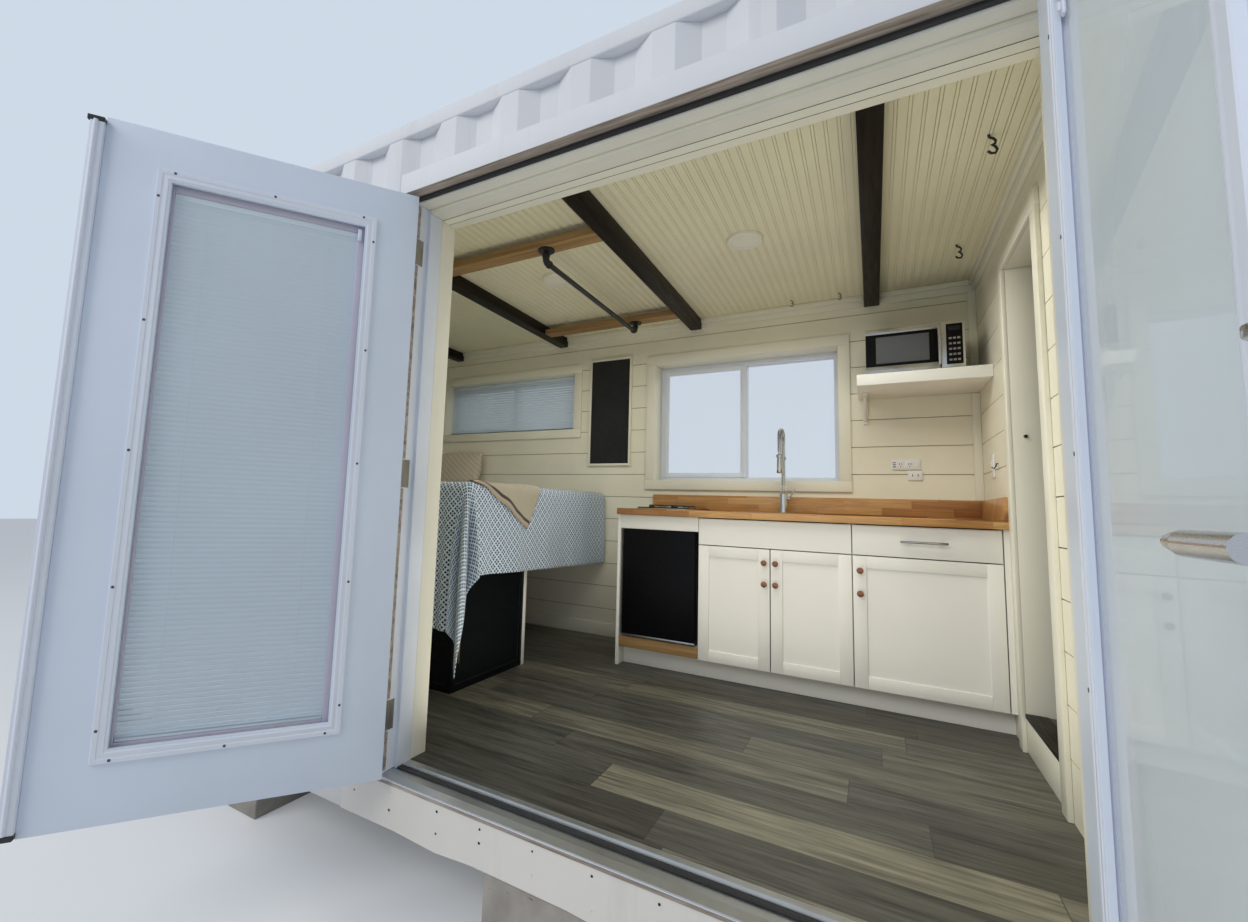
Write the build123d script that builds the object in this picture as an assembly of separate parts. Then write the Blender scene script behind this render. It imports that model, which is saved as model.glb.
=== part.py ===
"""Cabin made from a 20 ft steel shipping container: shell, linings, glazed entrance doors,
windows, fitted kitchen and raised bed. Millimetres. Origin at the middle of the footprint,
on the ground. +X runs right along the entrance side, +Y runs into the cabin, +Z is up."""
from build123d import *
import os

os.makedirs("parts", exist_ok=True)

# Container shell
LENGTH = 6058.0
WIDTH = 2438.0
HEIGHT = 2591.0
BLOCK_HEIGHT = 190.0        # concrete blocks that carry the container
BLOCK_SIDE = 390.0
BLOCK_BACK = 5.0            # outer faces of the blocks behind those of the castings
RAIL_BLOCK_X, RAIL_BLOCK_PITCH, RAIL_BLOCK_COUNT = -1335.0, 1530.0, 3
CASTING_X, CASTING_Y, CASTING_Z = 178.0, 162.0, 118.0
CASTING_PROUD = 10.0        # castings stand below and above the rails
POST_SET_BACK = 4.0         # faces of the posts behind those of the castings
SIDE_RAIL_W, SIDE_RAIL_H = 48.0, 140.0
TOP_RAIL = 60.0
JOIST_W, JOIST_H, JOIST_COUNT = 45.0, 122.0, 13
SHEET_T = 2.0
SIDE_FLAT, SIDE_SLOPE, SIDE_DEPTH = 71.0, 68.0, 36.0
ROOF_FLAT, ROOF_SLOPE, ROOF_DEPTH = 91.0, 13.5, 20.0
SEAM = 0.4                  # joint between pieces that meet

# Fitting out
WALL_THICK = 190.0          # outside of the steel to the face of the boards
FLOOR_UP_H = 180.0          # underside of the container to the finished floor
DECK_T = 40.0
CEILING_CLEAR = 2258.0
CEILING_T = 60.0
SKIRTING_H, TRIM_T, CASING_W = 90.0, 15.0, 65.0

# Entrance: a pair of glazed leaves that open outwards
LEAF_W, LEAF_H, LEAF_T = 914.0, 2032.0, 44.5
LEAF_LIFT = 2.0             # underside of a leaf above the finished floor
HINGE_GAP, MEET_GAP, HEAD_GAP = 5.0, 10.0, 6.0
ENTRANCE_X = 484.0          # middle of the opening
HINGE_OUT = 8.0             # hinge pins stand out of the door face
KNUCKLE_R = HINGE_OUT - 0.3
HINGE_FROM_END = 180.0      # middle of the outer hinges from the ends of a leaf
ASTRAGAL_T = 3.0
LEFT_OPEN, RIGHT_OPEN = 126.4, 85.8
JAMB_T, JAMB_DEPTH = 32.0, 116.0
STOP_T, STOP_Y = 12.7, 52.0
LITE_W, LITE_LIFT, LITE_BELOW_TOP = 637.0, 166.0, 124.0
LITE_FRAME_W, LITE_PROUD = 38.0, 8.0
PANE_T, PANE_INSET = 4.0, 8.0
BLIND_T = 2.0
RIGHT_BLIND_DROP = 1180.0   # the right blind is drawn up part of the way
LEVER_LIFT, BOLT_LIFT, BACKSET = 905.0, 1050.0, 60.0
FLASHING_OUT, FLASHING_H = 60.0, 78.0
APRON_T, APRON_PAST = 2.5, 160.0
SUB_SILL_T, SUB_SILL_OUT, SILL_DROP = 12.0, 6.0, 6.0

# Windows in the back wall
KITCHEN_WIN_X, KITCHEN_WIN_W, KITCHEN_WIN_SILL = 268.0, 1210.0, 1112.0
HIGH_WIN_X, HIGH_WIN_W, HIGH_WIN_SILL = -1650.0, 1350.0, 1505.0
WIN_HEAD = 1980.0
WIN_BAR, WIN_DEPTH = 45.0, 62.0

# Partition and raised floor of the wet room
PARTITION_X, PARTITION_T = 1550.0, 100.0
DOORWAY_Y0, DOORWAY_Y1, DOORWAY_H = -230.0, 310.0, 2032.0
BATH_STEP_H = 150.0

# Ceiling beams and the pipe between them
BEAM_W, BEAM_H, BEAM_PITCH, BEAM_FIRST, BEAM_COUNT = 80.0, 70.0, 1074.0, -2176.0, 4
TIE_W, TIE_T = 89.0, 38.0
TIE_YS = (-489.0, 671.0)
PIPE_X, PIPE_R, PIPE_DROP, FLANGE_R = -360.0, 13.5, 62.0, 42.0
LIGHT_R, LIGHT_T = 85.0, 24.0

# Kitchen
UNIT_TOP, UNIT_DEPTH, PANEL = 884.0, 590.0, 18.0
DOOR_T, DOOR_GAP, FRONT_GAP = 19.0, 0.4, 5.0
TOE_H, TOE_BACK = 107.0, 60.0
SINK_UNIT_W, DRAWER_UNIT_W, FRIDGE_BAY_W = 762.0, 590.0, 475.0
FILLER_W = 25.0             # strip that keeps the drawer clear of the doorway's casing
TOP_FRONT_H = 152.0
DOOR_RAIL, KNOB_DROPS = 58.0, (70.0, 180.0)
PULL_LENGTH, PULL_POST_GAP = 190.0, 128.0
WORKTOP_T, WORKTOP_DEPTH, SPLASH_H, SPLASH_T = 38.0, 635.0, 104.0, 20.0
SINK_CUT_W, SINK_CUT_D, SINK_DEPTH, SINK_T = 420.0, 360.0, 170.0, 3.0
TAP_H, TAP_R, TAP_REACH, TAP_DROP = 515.0, 14.0, 150.0, 190.0
HOB_W, HOB_D, HOB_T = 300.0, 510.0, 12.0
RING_IN, RING_PITCH, RING_R = 150.0, 220.0, 82.0
DRAWER_WALL, DRAWER_LENGTH, RUNNER_T = 14.0, 480.0, 14.0
FRIDGE_W, FRIDGE_H, FRIDGE_D, FRIDGE_DOOR_T = 440.0, 628.0, 470.0, 45.0
FRIDGE_LIFT, FRIDGE_WALL = 170.0, 40.0
SHELF_T, SHELF_D, SHELF_W, SHELF_LIFT = 61.0, 406.0, 583.0, 1617.0
OVEN_W, OVEN_H, OVEN_D = 437.0, 248.0, 330.0
BOARD_X, BOARD_W, BOARD_H, BOARD_LIFT, BOARD_T = -677.0, 345.0, 817.0, 1233.0, 20.0

# Bed
BED_LENGTH, BED_WIDTH, BED_END_GAP, BED_WALL_GAP = 2030.0, 1515.0, 104.0, 19.0
CHEST_D, CHEST_FRONT, CHEST_INSET, CHEST_BACK = 600.0, 20.0, 55.0, 26.0
DECK_LIFT, BED_DECK_T, MATTRESS_T, COVER_T = 690.0, 36.0, 290.0, 14.0
LEDGER_H, LEDGER_T = 90.0, 38.0
COVER_SIDE_HEM, COVER_FRONT_HEM = 560.0, 300.0
PILLOW_IN, PILLOW_W, PILLOW_H, PILLOW_T, PILLOW_LEAN = 660.0, 520.0, 330.0, 130.0, 14.0
THROW_T, THROW_START, THROW_W, THROW_TIP, THROW_DROP = 8.0, 25.0, 710.0, 450.0, 240.0
THROW_CORNERS = ((560.0, 980.0), (1210.0, 560.0), (1160.0, 60.0))
SOFT_GAP = 0.5

# Levels and faces worked out from the sizes above
BASE = BLOCK_HEIGHT
TOP = BASE + HEIGHT
FLOOR = BASE + FLOOR_UP_H
CEILING = FLOOR + CEILING_CLEAR
RAIL_TOP = BASE + CASTING_PROUD + SIDE_RAIL_H
SHEET_TOP = TOP - CASTING_PROUD - TOP_RAIL
OUT_X, OUT_Y = LENGTH / 2, WIDTH / 2
IN_X, IN_Y = OUT_X - WALL_THICK, OUT_Y - WALL_THICK
LINE_X, LINE_Y = OUT_X - SIDE_DEPTH - SHEET_T - 4, OUT_Y - SIDE_DEPTH - SHEET_T - 4
OPENING_W = 2 * LEAF_W + 2 * HINGE_GAP + MEET_GAP
HINGE_LEFT, HINGE_RIGHT = ENTRANCE_X - OPENING_W / 2, ENTRANCE_X + OPENING_W / 2
HINGE_Y = -OUT_Y - HINGE_OUT
HEAD_Z = FLOOR + LEAF_LIFT + LEAF_H + HEAD_GAP
ROUGH_X0, ROUGH_X1 = HINGE_LEFT - JAMB_T, HINGE_RIGHT + JAMB_T
ROUGH_TOP = HEAD_Z + JAMB_T
LITE_H = LEAF_H - LITE_LIFT - LITE_BELOW_TOP
BED_X0, BED_Y1 = BED_END_GAP - IN_X, IN_Y - BED_WALL_GAP
BED_X1, BED_Y0 = BED_X0 + BED_LENGTH, BED_Y1 - BED_WIDTH


def block(x0, x1, y0, y1, z0, z1):
    """A box between two corners."""
    size = (x1 - x0, y1 - y0, z1 - z0)
    return Pos((x0 + x1) / 2, (y0 + y1) / 2, (z0 + z1) / 2) * Box(*size)


def rod(x, y, z0, z1, radius):
    """An upright cylinder."""
    return Pos(x, y, (z0 + z1) / 2) * Cylinder(radius, z1 - z0)


def save(name, *solids):
    """Write the solids of one node to its STEP file."""
    flat = [s for item in solids for s in item.solids()]
    export_step(Compound(flat) if len(flat) > 1 else flat[0], f"parts/{name}.step")


def folded_sheet(length, height, flat, slope, depth):
    """A corrugated sheet: ridges at y = 0, valleys at y = depth, upright, from x = 0."""
    pitch = 2 * (flat + slope)
    line = [(0.0, 0.0)]
    steps = ((flat, 0.0), (slope, depth), (flat, depth), (slope, 0.0))
    while line[-1][0] < length - pitch:
        for run, y in steps:
            line.append((line[-1][0] + run, y))
    line.append((length, line[-1][1]))
    back = [(x, y + SHEET_T) for x, y in reversed(line)]
    outline = Polyline(*line, *back, close=True)
    return extrude(make_face(outline), amount=height, dir=(0, 0, 1))


# Concrete blocks under the corner castings and, a little higher, under the long rails
rail_under = BASE + CASTING_PROUD
half = BLOCK_SIDE / 2
corner_x = OUT_X - half - BLOCK_BACK
block_y = OUT_Y - half - BLOCK_BACK
block_tops = [(-corner_x, BASE), (corner_x, BASE)]
block_tops += [(RAIL_BLOCK_X + i * RAIL_BLOCK_PITCH, rail_under) for i in range(RAIL_BLOCK_COUNT)]
foundation = []
for bx, high in block_tops:
    for by in (-block_y, block_y):
        foundation.append(block(bx - half, bx + half, by - half, by + half, 0, high - SEAM))
save("foundation_blocks", *foundation)

# Corner posts with their castings
posts = []
for sx in (-1, 1):
    for sy in (-1, 1):
        x_out, y_out = sx * OUT_X, sy * OUT_Y
        xs = sorted((x_out, x_out - sx * CASTING_X))
        ys = sorted((y_out, y_out - sy * CASTING_Y))
        post_xs = sorted((x_out - sx * POST_SET_BACK, x_out - sx * CASTING_X))
        post_ys = sorted((y_out - sy * POST_SET_BACK, y_out - sy * CASTING_Y))
        post = block(*post_xs, *post_ys, BASE + CASTING_Z, TOP - CASTING_Z)
        post += block(*xs, *ys, BASE, BASE + CASTING_Z)
        post += block(*xs, *ys, TOP - CASTING_Z, TOP)
        posts.append(post)
save("corner_posts", *posts)

# Rails between the castings
side_run = OUT_X - CASTING_X - SEAM
end_run = OUT_Y - CASTING_Y - SEAM
rails = []
for sy in (-1, 1):
    ys = sorted((sy * OUT_Y, sy * (OUT_Y - SIDE_RAIL_W)))
    rails.append(block(-side_run, side_run, *ys, rail_under, RAIL_TOP))
for sx in (-1, 1):
    xs = sorted((sx * OUT_X, sx * (OUT_X - SIDE_RAIL_W)))
    rails.append(block(*xs, -end_run, end_run, rail_under, RAIL_TOP))
save("bottom_rails", *rails)

rails = []
rail_high = TOP - CASTING_PROUD
for sy in (-1, 1):
    ys = sorted((sy * OUT_Y, sy * (OUT_Y - TOP_RAIL)))
    rails.append(block(-side_run, side_run, *ys, SHEET_TOP, rail_high))
for sx in (-1, 1):
    xs = sorted((sx * OUT_X, sx * (OUT_X - TOP_RAIL)))
    rails.append(block(*xs, -end_run, end_run, SHEET_TOP, rail_high))
save("top_rails", *rails)

deck_z = FLOOR - DECK_T
joist_y = OUT_Y - SIDE_RAIL_W - SEAM
joist_first = -OUT_X + CASTING_X + 160
joist_pitch = -2 * joist_first / (JOIST_COUNT - 1)
joists = []
for i in range(JOIST_COUNT):
    jx = joist_first + i * joist_pitch
    joists.append(block(jx - JOIST_W / 2, jx + JOIST_W / 2, -joist_y, joist_y,
                        deck_z - SEAM - JOIST_H, deck_z - SEAM))
save("cross_members", *joists)

# Corrugated steel skins, cut from whole sheets so that the ridges line up
skin_z0, skin_z1 = RAIL_TOP + SEAM, SHEET_TOP - SEAM
skin_x, skin_y = side_run, end_run
long_sheet = folded_sheet(2 * skin_x, skin_z1 - skin_z0, SIDE_FLAT, SIDE_SLOPE, SIDE_DEPTH)
front_sheet = Pos(-skin_x, -OUT_Y + 2, skin_z0) * long_sheet
back_sheet = Rot(0, 0, 180) * front_sheet


def cut_out(sheet, spans):
    """Pieces of a sheet that runs along X: each span is x0, x1, z0, z1."""
    deep = OUT_Y + 50
    pieces = []
    for x0, x1, z0, z1 in spans:
        cutter = block(x0 + SEAM / 2, x1 - SEAM / 2, -deep, deep, z0, z1)
        pieces.extend((sheet & cutter).solids())
    return pieces


front_spans = [
    (-skin_x, ROUGH_X0, skin_z0, skin_z1),
    (ROUGH_X0, ROUGH_X1, ROUGH_TOP + SEAM, skin_z1),
    (ROUGH_X1, skin_x, skin_z0, skin_z1),
]
save("front_skin", *cut_out(front_sheet, front_spans))

windows = {
    "high": (HIGH_WIN_X - HIGH_WIN_W / 2, HIGH_WIN_X + HIGH_WIN_W / 2,
             FLOOR + HIGH_WIN_SILL, FLOOR + WIN_HEAD),
    "kitchen": (KITCHEN_WIN_X - KITCHEN_WIN_W / 2, KITCHEN_WIN_X + KITCHEN_WIN_W / 2,
                FLOOR + KITCHEN_WIN_SILL, FLOOR + WIN_HEAD),
}


def spans_round_windows(x0, x1, z0, z1):
    """Rectangles that fill a wall beside, below and above the two windows."""
    spans = []
    edge = x0
    for wx0, wx1, wz0, wz1 in windows.values():
        spans += [(edge, wx0, z0, z1), (wx0, wx1, z0, wz0 - SEAM), (wx0, wx1, wz1 + SEAM, z1)]
        edge = wx1
    return spans + [(edge, x1, z0, z1)]


save("back_skin", *cut_out(back_sheet, spans_round_windows(-skin_x, skin_x, skin_z0, skin_z1)))

end_sheet = folded_sheet(2 * skin_y, skin_z1 - skin_z0, SIDE_FLAT, SIDE_SLOPE, SIDE_DEPTH)
end_skins = []
for turn in (-90, 90):
    end_skins.append(Rot(0, 0, turn) * (Pos(-skin_y, -OUT_X + 2, skin_z0) * end_sheet))
save("end_skins", *end_skins)

roof_x, roof_y = OUT_X - TOP_RAIL - SEAM, OUT_Y - TOP_RAIL - SEAM
roof_sheet = folded_sheet(2 * roof_x, 2 * roof_y, ROOF_FLAT, ROOF_SLOPE, ROOF_DEPTH)
roof = Pos(-roof_x, roof_y, rail_high) * (Rot(90, 0, 0) * mirror(roof_sheet, about=Plane.XZ))
for sx in (-1, 1):
    for sy in (-1, 1):
        xs = sorted((sx * (OUT_X + 1), sx * side_run))
        ys = sorted((sy * (OUT_Y + 1), sy * end_run))
        roof -= block(*xs, *ys, TOP - CASTING_Z, TOP)
save("roof", roof)

# Floor: deck boards, cut back in front of the sill of the entrance
sill_in = -OUT_Y + JAMB_DEPTH
deck_x = side_run
floor_parts = [block(-deck_x, deck_x, sill_in + SEAM, joist_y, deck_z, FLOOR)]
for x0, x1 in ((-deck_x, ROUGH_X0 - SEAM), (ROUGH_X1 + SEAM, deck_x)):
    floor_parts.append(block(x0, x1, -joist_y, sill_in, deck_z, FLOOR))
for x0, x1 in ((SIDE_RAIL_W + SEAM - OUT_X, -deck_x - SEAM), (deck_x + SEAM, OUT_X - SIDE_RAIL_W - SEAM)):
    floor_parts.append(block(x0, x1, -end_run, end_run, deck_z, FLOOR))
save("floor_deck", *floor_parts)

# Stud walls with their boards, one slab beside, below or above each opening
lining_z0, lining_z1 = FLOOR + SEAM, SHEET_TOP - SEAM
lining_x = side_run


def lining(spans, y0, y1):
    """Slabs along X between two faces."""
    return [block(x0 + SEAM / 2, x1 - SEAM / 2, y0, y1, z0, z1) for x0, x1, z0, z1 in spans]


lining_spans = [
    (-lining_x, ROUGH_X0, lining_z0, lining_z1),
    (ROUGH_X0, ROUGH_X1, ROUGH_TOP + SEAM, lining_z1),
    (ROUGH_X1, lining_x, lining_z0, lining_z1),
]
save("front_lining", *lining(lining_spans, -LINE_Y, -IN_Y))
save("back_lining", *lining(spans_round_windows(-lining_x, lining_x, lining_z0, lining_z1), IN_Y, LINE_Y))
end_in = IN_Y - SEAM
save("end_linings",
     block(-LINE_X, -IN_X, -end_in, end_in, lining_z0, lining_z1),
     block(IN_X, LINE_X, -end_in, end_in, lining_z0, lining_z1))
ceiling_x = IN_X - SEAM
save("ceiling", block(-ceiling_x, ceiling_x, -end_in, end_in, CEILING, CEILING + CEILING_T))

# Partition with an open doorway, and the raised floor behind it
part_x1 = PARTITION_X + PARTITION_T
under_ceiling = CEILING - SEAM
door_top = FLOOR + DOORWAY_H
save("partition",
     block(PARTITION_X, part_x1, -end_in, DOORWAY_Y0, lining_z0, under_ceiling),
     block(PARTITION_X, part_x1, DOORWAY_Y1, end_in, lining_z0, under_ceiling),
     block(PARTITION_X, part_x1, DOORWAY_Y0 + SEAM, DOORWAY_Y1 - SEAM, door_top, under_ceiling))
bath_top = FLOOR + BATH_STEP_H
bath_floor = block(part_x1 + SEAM, ceiling_x, -end_in, end_in, lining_z0, bath_top)
bath_floor += block(PARTITION_X + 6, part_x1 + SEAM, DOORWAY_Y0 + TRIM_T + SEAM,
                    DOORWAY_Y1 - TRIM_T - SEAM, lining_z0, bath_top)
save("wet_room_floor", bath_floor)

# Boards that line and frame the openings, with the skirtings
trim = []
for wx0, wx1, wz0, wz1 in windows.values():
    frame_in = OUT_Y + 8 - WIN_DEPTH - SEAM
    face0, face1 = IN_Y - TRIM_T - SEAM, IN_Y - SEAM
    reveal = TRIM_T
    trim.append(block(wx0 + SEAM, wx1 - SEAM, face1 + SEAM, frame_in, wz0 + SEAM, wz0 + reveal))
    trim.append(block(wx0 + SEAM, wx1 - SEAM, face1 + SEAM, frame_in, wz1 - reveal, wz1 - SEAM))
    for x0, x1 in ((wx0 + SEAM, wx0 + reveal), (wx1 - reveal, wx1 - SEAM)):
        trim.append(block(x0, x1, face1 + SEAM, frame_in, wz0 + reveal + SEAM, wz1 - reveal - SEAM))
    outer0, outer1 = wx0 - CASING_W + reveal, wx1 + CASING_W - reveal
    trim.append(block(outer0, outer1, face0, face1, wz1 - reveal, wz1 - reveal + CASING_W))
    trim.append(block(outer0, outer1, face0, face1, wz0 + reveal - CASING_W, wz0 + reveal))
    for x0, x1 in ((outer0, outer0 + CASING_W), (outer1 - CASING_W, outer1)):
        trim.append(block(x0, x1, face0, face1, wz0 + reveal + SEAM, wz1 - reveal - SEAM))
panel_x0 = PARTITION_X - FILLER_W - DRAWER_UNIT_W - SINK_UNIT_W - FRIDGE_BAY_W - PANEL
skirt_z0, skirt_z1 = FLOOR + SEAM, FLOOR + SKIRTING_H
trim.append(block(-IN_X + SEAM, panel_x0 - SEAM, IN_Y - TRIM_T - SEAM, IN_Y - SEAM, skirt_z0, skirt_z1))
for x0, x1 in ((-IN_X + SEAM, ROUGH_X0), (ROUGH_X1, PARTITION_X - SEAM)):
    trim.append(block(x0, x1, -IN_Y + SEAM, -IN_Y + TRIM_T + SEAM, skirt_z0, skirt_z1))
for y0, y1 in ((DOORWAY_Y0 + SEAM, DOORWAY_Y0 + TRIM_T), (DOORWAY_Y1 - TRIM_T, DOORWAY_Y1 - SEAM)):
    trim.append(block(PARTITION_X, part_x1, y0, y1, lining_z0, door_top - TRIM_T - SEAM))
trim.append(block(PARTITION_X, part_x1, DOORWAY_Y0 + SEAM, DOORWAY_Y1 - SEAM,
                  door_top - TRIM_T, door_top - SEAM))
case_x0, case_x1 = PARTITION_X - TRIM_T - SEAM, PARTITION_X - SEAM
for y0, y1 in ((DOORWAY_Y0 + TRIM_T - CASING_W, DOORWAY_Y0 + TRIM_T),
               (DOORWAY_Y1 - TRIM_T, DOORWAY_Y1 - TRIM_T + CASING_W)):
    trim.append(block(case_x0, case_x1, y0, y1, lining_z0, door_top - TRIM_T - SEAM))
trim.append(block(case_x0, case_x1, DOORWAY_Y0 + TRIM_T - CASING_W, DOORWAY_Y1 - TRIM_T + CASING_W,
                  door_top - TRIM_T, door_top - TRIM_T + CASING_W))
liner_y0, liner_y1 = sill_in + SEAM, -IN_Y
for x0, x1 in ((ROUGH_X0 + SEAM, HINGE_LEFT + STOP_T), (HINGE_RIGHT - STOP_T, ROUGH_X1 - SEAM)):
    trim.append(block(x0, x1, liner_y0, liner_y1, lining_z0, HEAD_Z - STOP_T - SEAM))
trim.append(block(ROUGH_X0 + SEAM, ROUGH_X1 - SEAM, liner_y0, liner_y1, HEAD_Z - STOP_T, ROUGH_TOP))
save("interior_trim", *trim)

# Frame of the entrance, rebated for the leaves
jamb_low = RAIL_TOP + SEAM + 2 * SUB_SILL_T
stop_y0 = -OUT_Y + STOP_Y
jambs = []
for side, hinge_x in ((-1, HINGE_LEFT), (1, HINGE_RIGHT)):
    xs = sorted((hinge_x, hinge_x + side * (JAMB_T - SEAM)))
    stop_xs = sorted((hinge_x - side * STOP_T, hinge_x + side * 1))
    jamb = block(*xs, -OUT_Y, sill_in, jamb_low, HEAD_Z - SEAM)
    jamb += block(*stop_xs, stop_y0, sill_in, jamb_low, HEAD_Z - SEAM)
    jambs.append(jamb)
head = block(ROUGH_X0 + SEAM, ROUGH_X1 - SEAM, -OUT_Y, sill_in, HEAD_Z, ROUGH_TOP)
head += block(HINGE_LEFT + STOP_T + SEAM, HINGE_RIGHT - STOP_T - SEAM,
              stop_y0, sill_in, HEAD_Z - STOP_T, HEAD_Z + 1)
sub_sill = block(ROUGH_X0 + SEAM, ROUGH_X1 - SEAM, -OUT_Y - SUB_SILL_OUT, sill_in,
                 RAIL_TOP + SEAM, RAIL_TOP + SUB_SILL_T)
save("door_frame", *jambs, head, sub_sill)

# Aluminium sill: a sloped nose outside and a raised strip behind the leaves
sill_low, sill_top = RAIL_TOP + SUB_SILL_T + SEAM, FLOOR - SILL_DROP
sill_line = Polyline((-OUT_Y - 4, sill_low), (sill_in, sill_low), (sill_in, FLOOR),
                     (sill_in - 22, FLOOR), (sill_in - 30, sill_top), (-OUT_Y + 20, sill_top),
                     (-OUT_Y - 4, sill_top - 8), close=True)
sill_face = make_face(Plane.YZ * sill_line)
sill = extrude(sill_face, amount=OPENING_W - 2 * SEAM, dir=(1, 0, 0))
sill = Pos(HINGE_LEFT + SEAM, 0, 0) * sill
for x0, x1 in ((HINGE_LEFT - 1, HINGE_LEFT + STOP_T + SEAM), (HINGE_RIGHT - STOP_T - SEAM, HINGE_RIGHT + 1)):
    sill -= block(x0, x1, stop_y0 - SEAM, sill_in + 1, jamb_low - SEAM, FLOOR + 1)
save("threshold", sill)

# Flashing over the doors, on a wooden block
flash_x0, flash_x1 = ROUGH_X0 - 4, ROUGH_X1 + 4
flash_low = HEAD_Z + 12
flash_y = -OUT_Y - FLASHING_OUT
flashing = block(flash_x0, flash_x1, flash_y, flash_y + SHEET_T, flash_low, flash_low + FLASHING_H)
flashing += block(flash_x0, flash_x1, flash_y, -OUT_Y - SEAM,
                  flash_low + FLASHING_H - SHEET_T, flash_low + FLASHING_H)
save("head_flashing", flashing)
save("head_block", block(flash_x0 + 2, flash_x1 - 2, flash_y + SHEET_T + SEAM, -OUT_Y - SEAM,
                         flash_low + 3, flash_low + FLASHING_H - SHEET_T - SEAM))

# Apron over the bottom rail, with a ragged lower edge
ragged = [(0.0, 8), (0.12, 10), (0.2, 2), (0.27, 14), (0.41, 12), (0.47, 4), (0.6, 9), (0.74, 11),
          (0.8, 3), (0.92, 8), (1.0, 10)]
apron_x0, apron_w = ROUGH_X0 - APRON_PAST, ROUGH_X1 - ROUGH_X0 + 2 * APRON_PAST
apron_line = [(apron_x0 + s * apron_w, rail_under - 6 + rise) for s, rise in ragged]
apron_line += [(apron_x0 + apron_w, RAIL_TOP), (apron_x0, RAIL_TOP)]
apron_face = make_face(Plane.XZ * Polyline(*apron_line, close=True))
save("sill_apron", Pos(0, -OUT_Y - SEAM, 0) * extrude(apron_face, amount=APRON_T, dir=(0, -1, 0)))


def leaf(side):
    """One entrance leaf, closed, on the left; u runs from the hinge, v into the cabin."""
    u0, u1 = HINGE_GAP, HINGE_GAP + LEAF_W
    z0, z1 = FLOOR + LEAF_LIFT, FLOOR + LEAF_LIFT + LEAF_H
    mid = (u0 + u1) / 2
    lite_z0 = z0 + LITE_LIFT
    lite_z1 = lite_z0 + LITE_H
    hole = 2 * LITE_FRAME_W - 12
    slab = block(u0, u1, 0, LEAF_T, z0, z1)
    slab += block(mid - LITE_W / 2, mid + LITE_W / 2, -LITE_PROUD, LEAF_T + LITE_PROUD, lite_z0, lite_z1)
    see = (mid - LITE_W / 2 + LITE_FRAME_W, mid + LITE_W / 2 - LITE_FRAME_W)
    slab -= block(*see, -50, 100, lite_z0 + LITE_FRAME_W, lite_z1 - LITE_FRAME_W)
    well = (mid - (LITE_W - hole) / 2, mid + (LITE_W - hole) / 2)
    well_z = (lite_z0 + hole / 2, lite_z1 - hole / 2)
    slab -= block(*well, 4, LEAF_T - 4, *well_z)
    pane = (well[0] + SEAM, well[1] - SEAM)
    pane_z = (well_z[0] + SEAM, well_z[1] - SEAM)
    outer = block(*pane, PANE_INSET, PANE_INSET + PANE_T, *pane_z)
    inner = block(*pane, LEAF_T - PANE_INSET - PANE_T, LEAF_T - PANE_INSET, *pane_z)
    drop = pane_z[1] - pane_z[0] if side == "left" else RIGHT_BLIND_DROP
    blind = block(*pane, LEAF_T / 2 - BLIND_T / 2, LEAF_T / 2 + BLIND_T / 2, pane_z[1] - drop, pane_z[1])
    blind += block(*pane, LEAF_T / 2 - 7, LEAF_T / 2 + 7, pane_z[1] - 22, pane_z[1])
    blind += block(*pane, LEAF_T / 2 - 5, LEAF_T / 2 + 5, pane_z[1] - drop, pane_z[1] - drop + 10)
    hinges = []
    for lift in (HINGE_FROM_END, LEAF_H / 2, LEAF_H - HINGE_FROM_END):
        hinge = rod(HINGE_GAP / 2, -HINGE_OUT, z0 + lift - 50, z0 + lift + 50, KNUCKLE_R)
        hinge += block(u0 - 1.8, u0 - 0.3, -HINGE_OUT, 34, z0 + lift - 50, z0 + lift + 50)
        hinges.append(hinge)
    return {"leaf": [slab], "glass": [outer, inner], "blind": [blind], "hinges": hinges}


def astragal():
    """The strip on the free edge of the left leaf that covers the joint of the pair."""
    edge = HINGE_GAP + LEAF_W + SEAM / 2
    z0, z1 = FLOOR + LEAF_LIFT + 8, HEAD_Z - STOP_T - 7
    lip = LEAF_T + 6
    strip = block(edge, edge + ASTRAGAL_T, 0, lip + 8, z0, z1)
    return strip + block(edge, edge + MEET_GAP + 24, lip, lip + 8, z0, z1)


def lock_set():
    """Levers on both faces, with the bolt's plates and thumb turn above them."""
    u = HINGE_GAP + LEAF_W - BACKSET
    lever_z = FLOOR + LEAF_LIFT + LEVER_LIFT
    bolt_z = FLOOR + LEAF_LIFT + BOLT_LIFT
    pieces = []
    for face, out in ((0.0, -1), (LEAF_T, 1)):
        def disc(radius, z, near, far):
            mid = face + out * (near + far) / 2
            return Pos(u, mid, z) * (Rot(90, 0, 0) * Cylinder(radius, far - near))
        rose = disc(27, lever_z, 0.3, 9) + disc(10, lever_z, 8, 52)
        ys = sorted((face + out * 40, face + out * 52))
        rose += block(u - 112, u + 8, *ys, lever_z - 10, lever_z + 10)
        plate = disc(27, bolt_z, 0.3, 12)
        if out > 0:
            plate += block(u - 5, u + 5, face + 10, face + 32, bolt_z - 18, bolt_z + 18)
        else:
            plate += disc(16, bolt_z, 11, 20)
        pieces += [rose, plate]
    return pieces


def place_left(solid):
    """From the leaf's own place to the hinge pin in the gap, turned open."""
    turned = Rot(0, 0, -LEFT_OPEN) * (Pos(-HINGE_GAP / 2, HINGE_OUT, 0) * solid)
    return Pos(HINGE_LEFT + HINGE_GAP / 2, HINGE_Y, 0) * turned


def place_right(solid):
    """Mirror image of the left leaf, on the right hinge, turned open."""
    flipped = mirror(Pos(-HINGE_GAP / 2, HINGE_OUT, 0) * solid, about=Plane.YZ)
    return Pos(HINGE_RIGHT - HINGE_GAP / 2, HINGE_Y, 0) * (Rot(0, 0, RIGHT_OPEN) * flipped)


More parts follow.
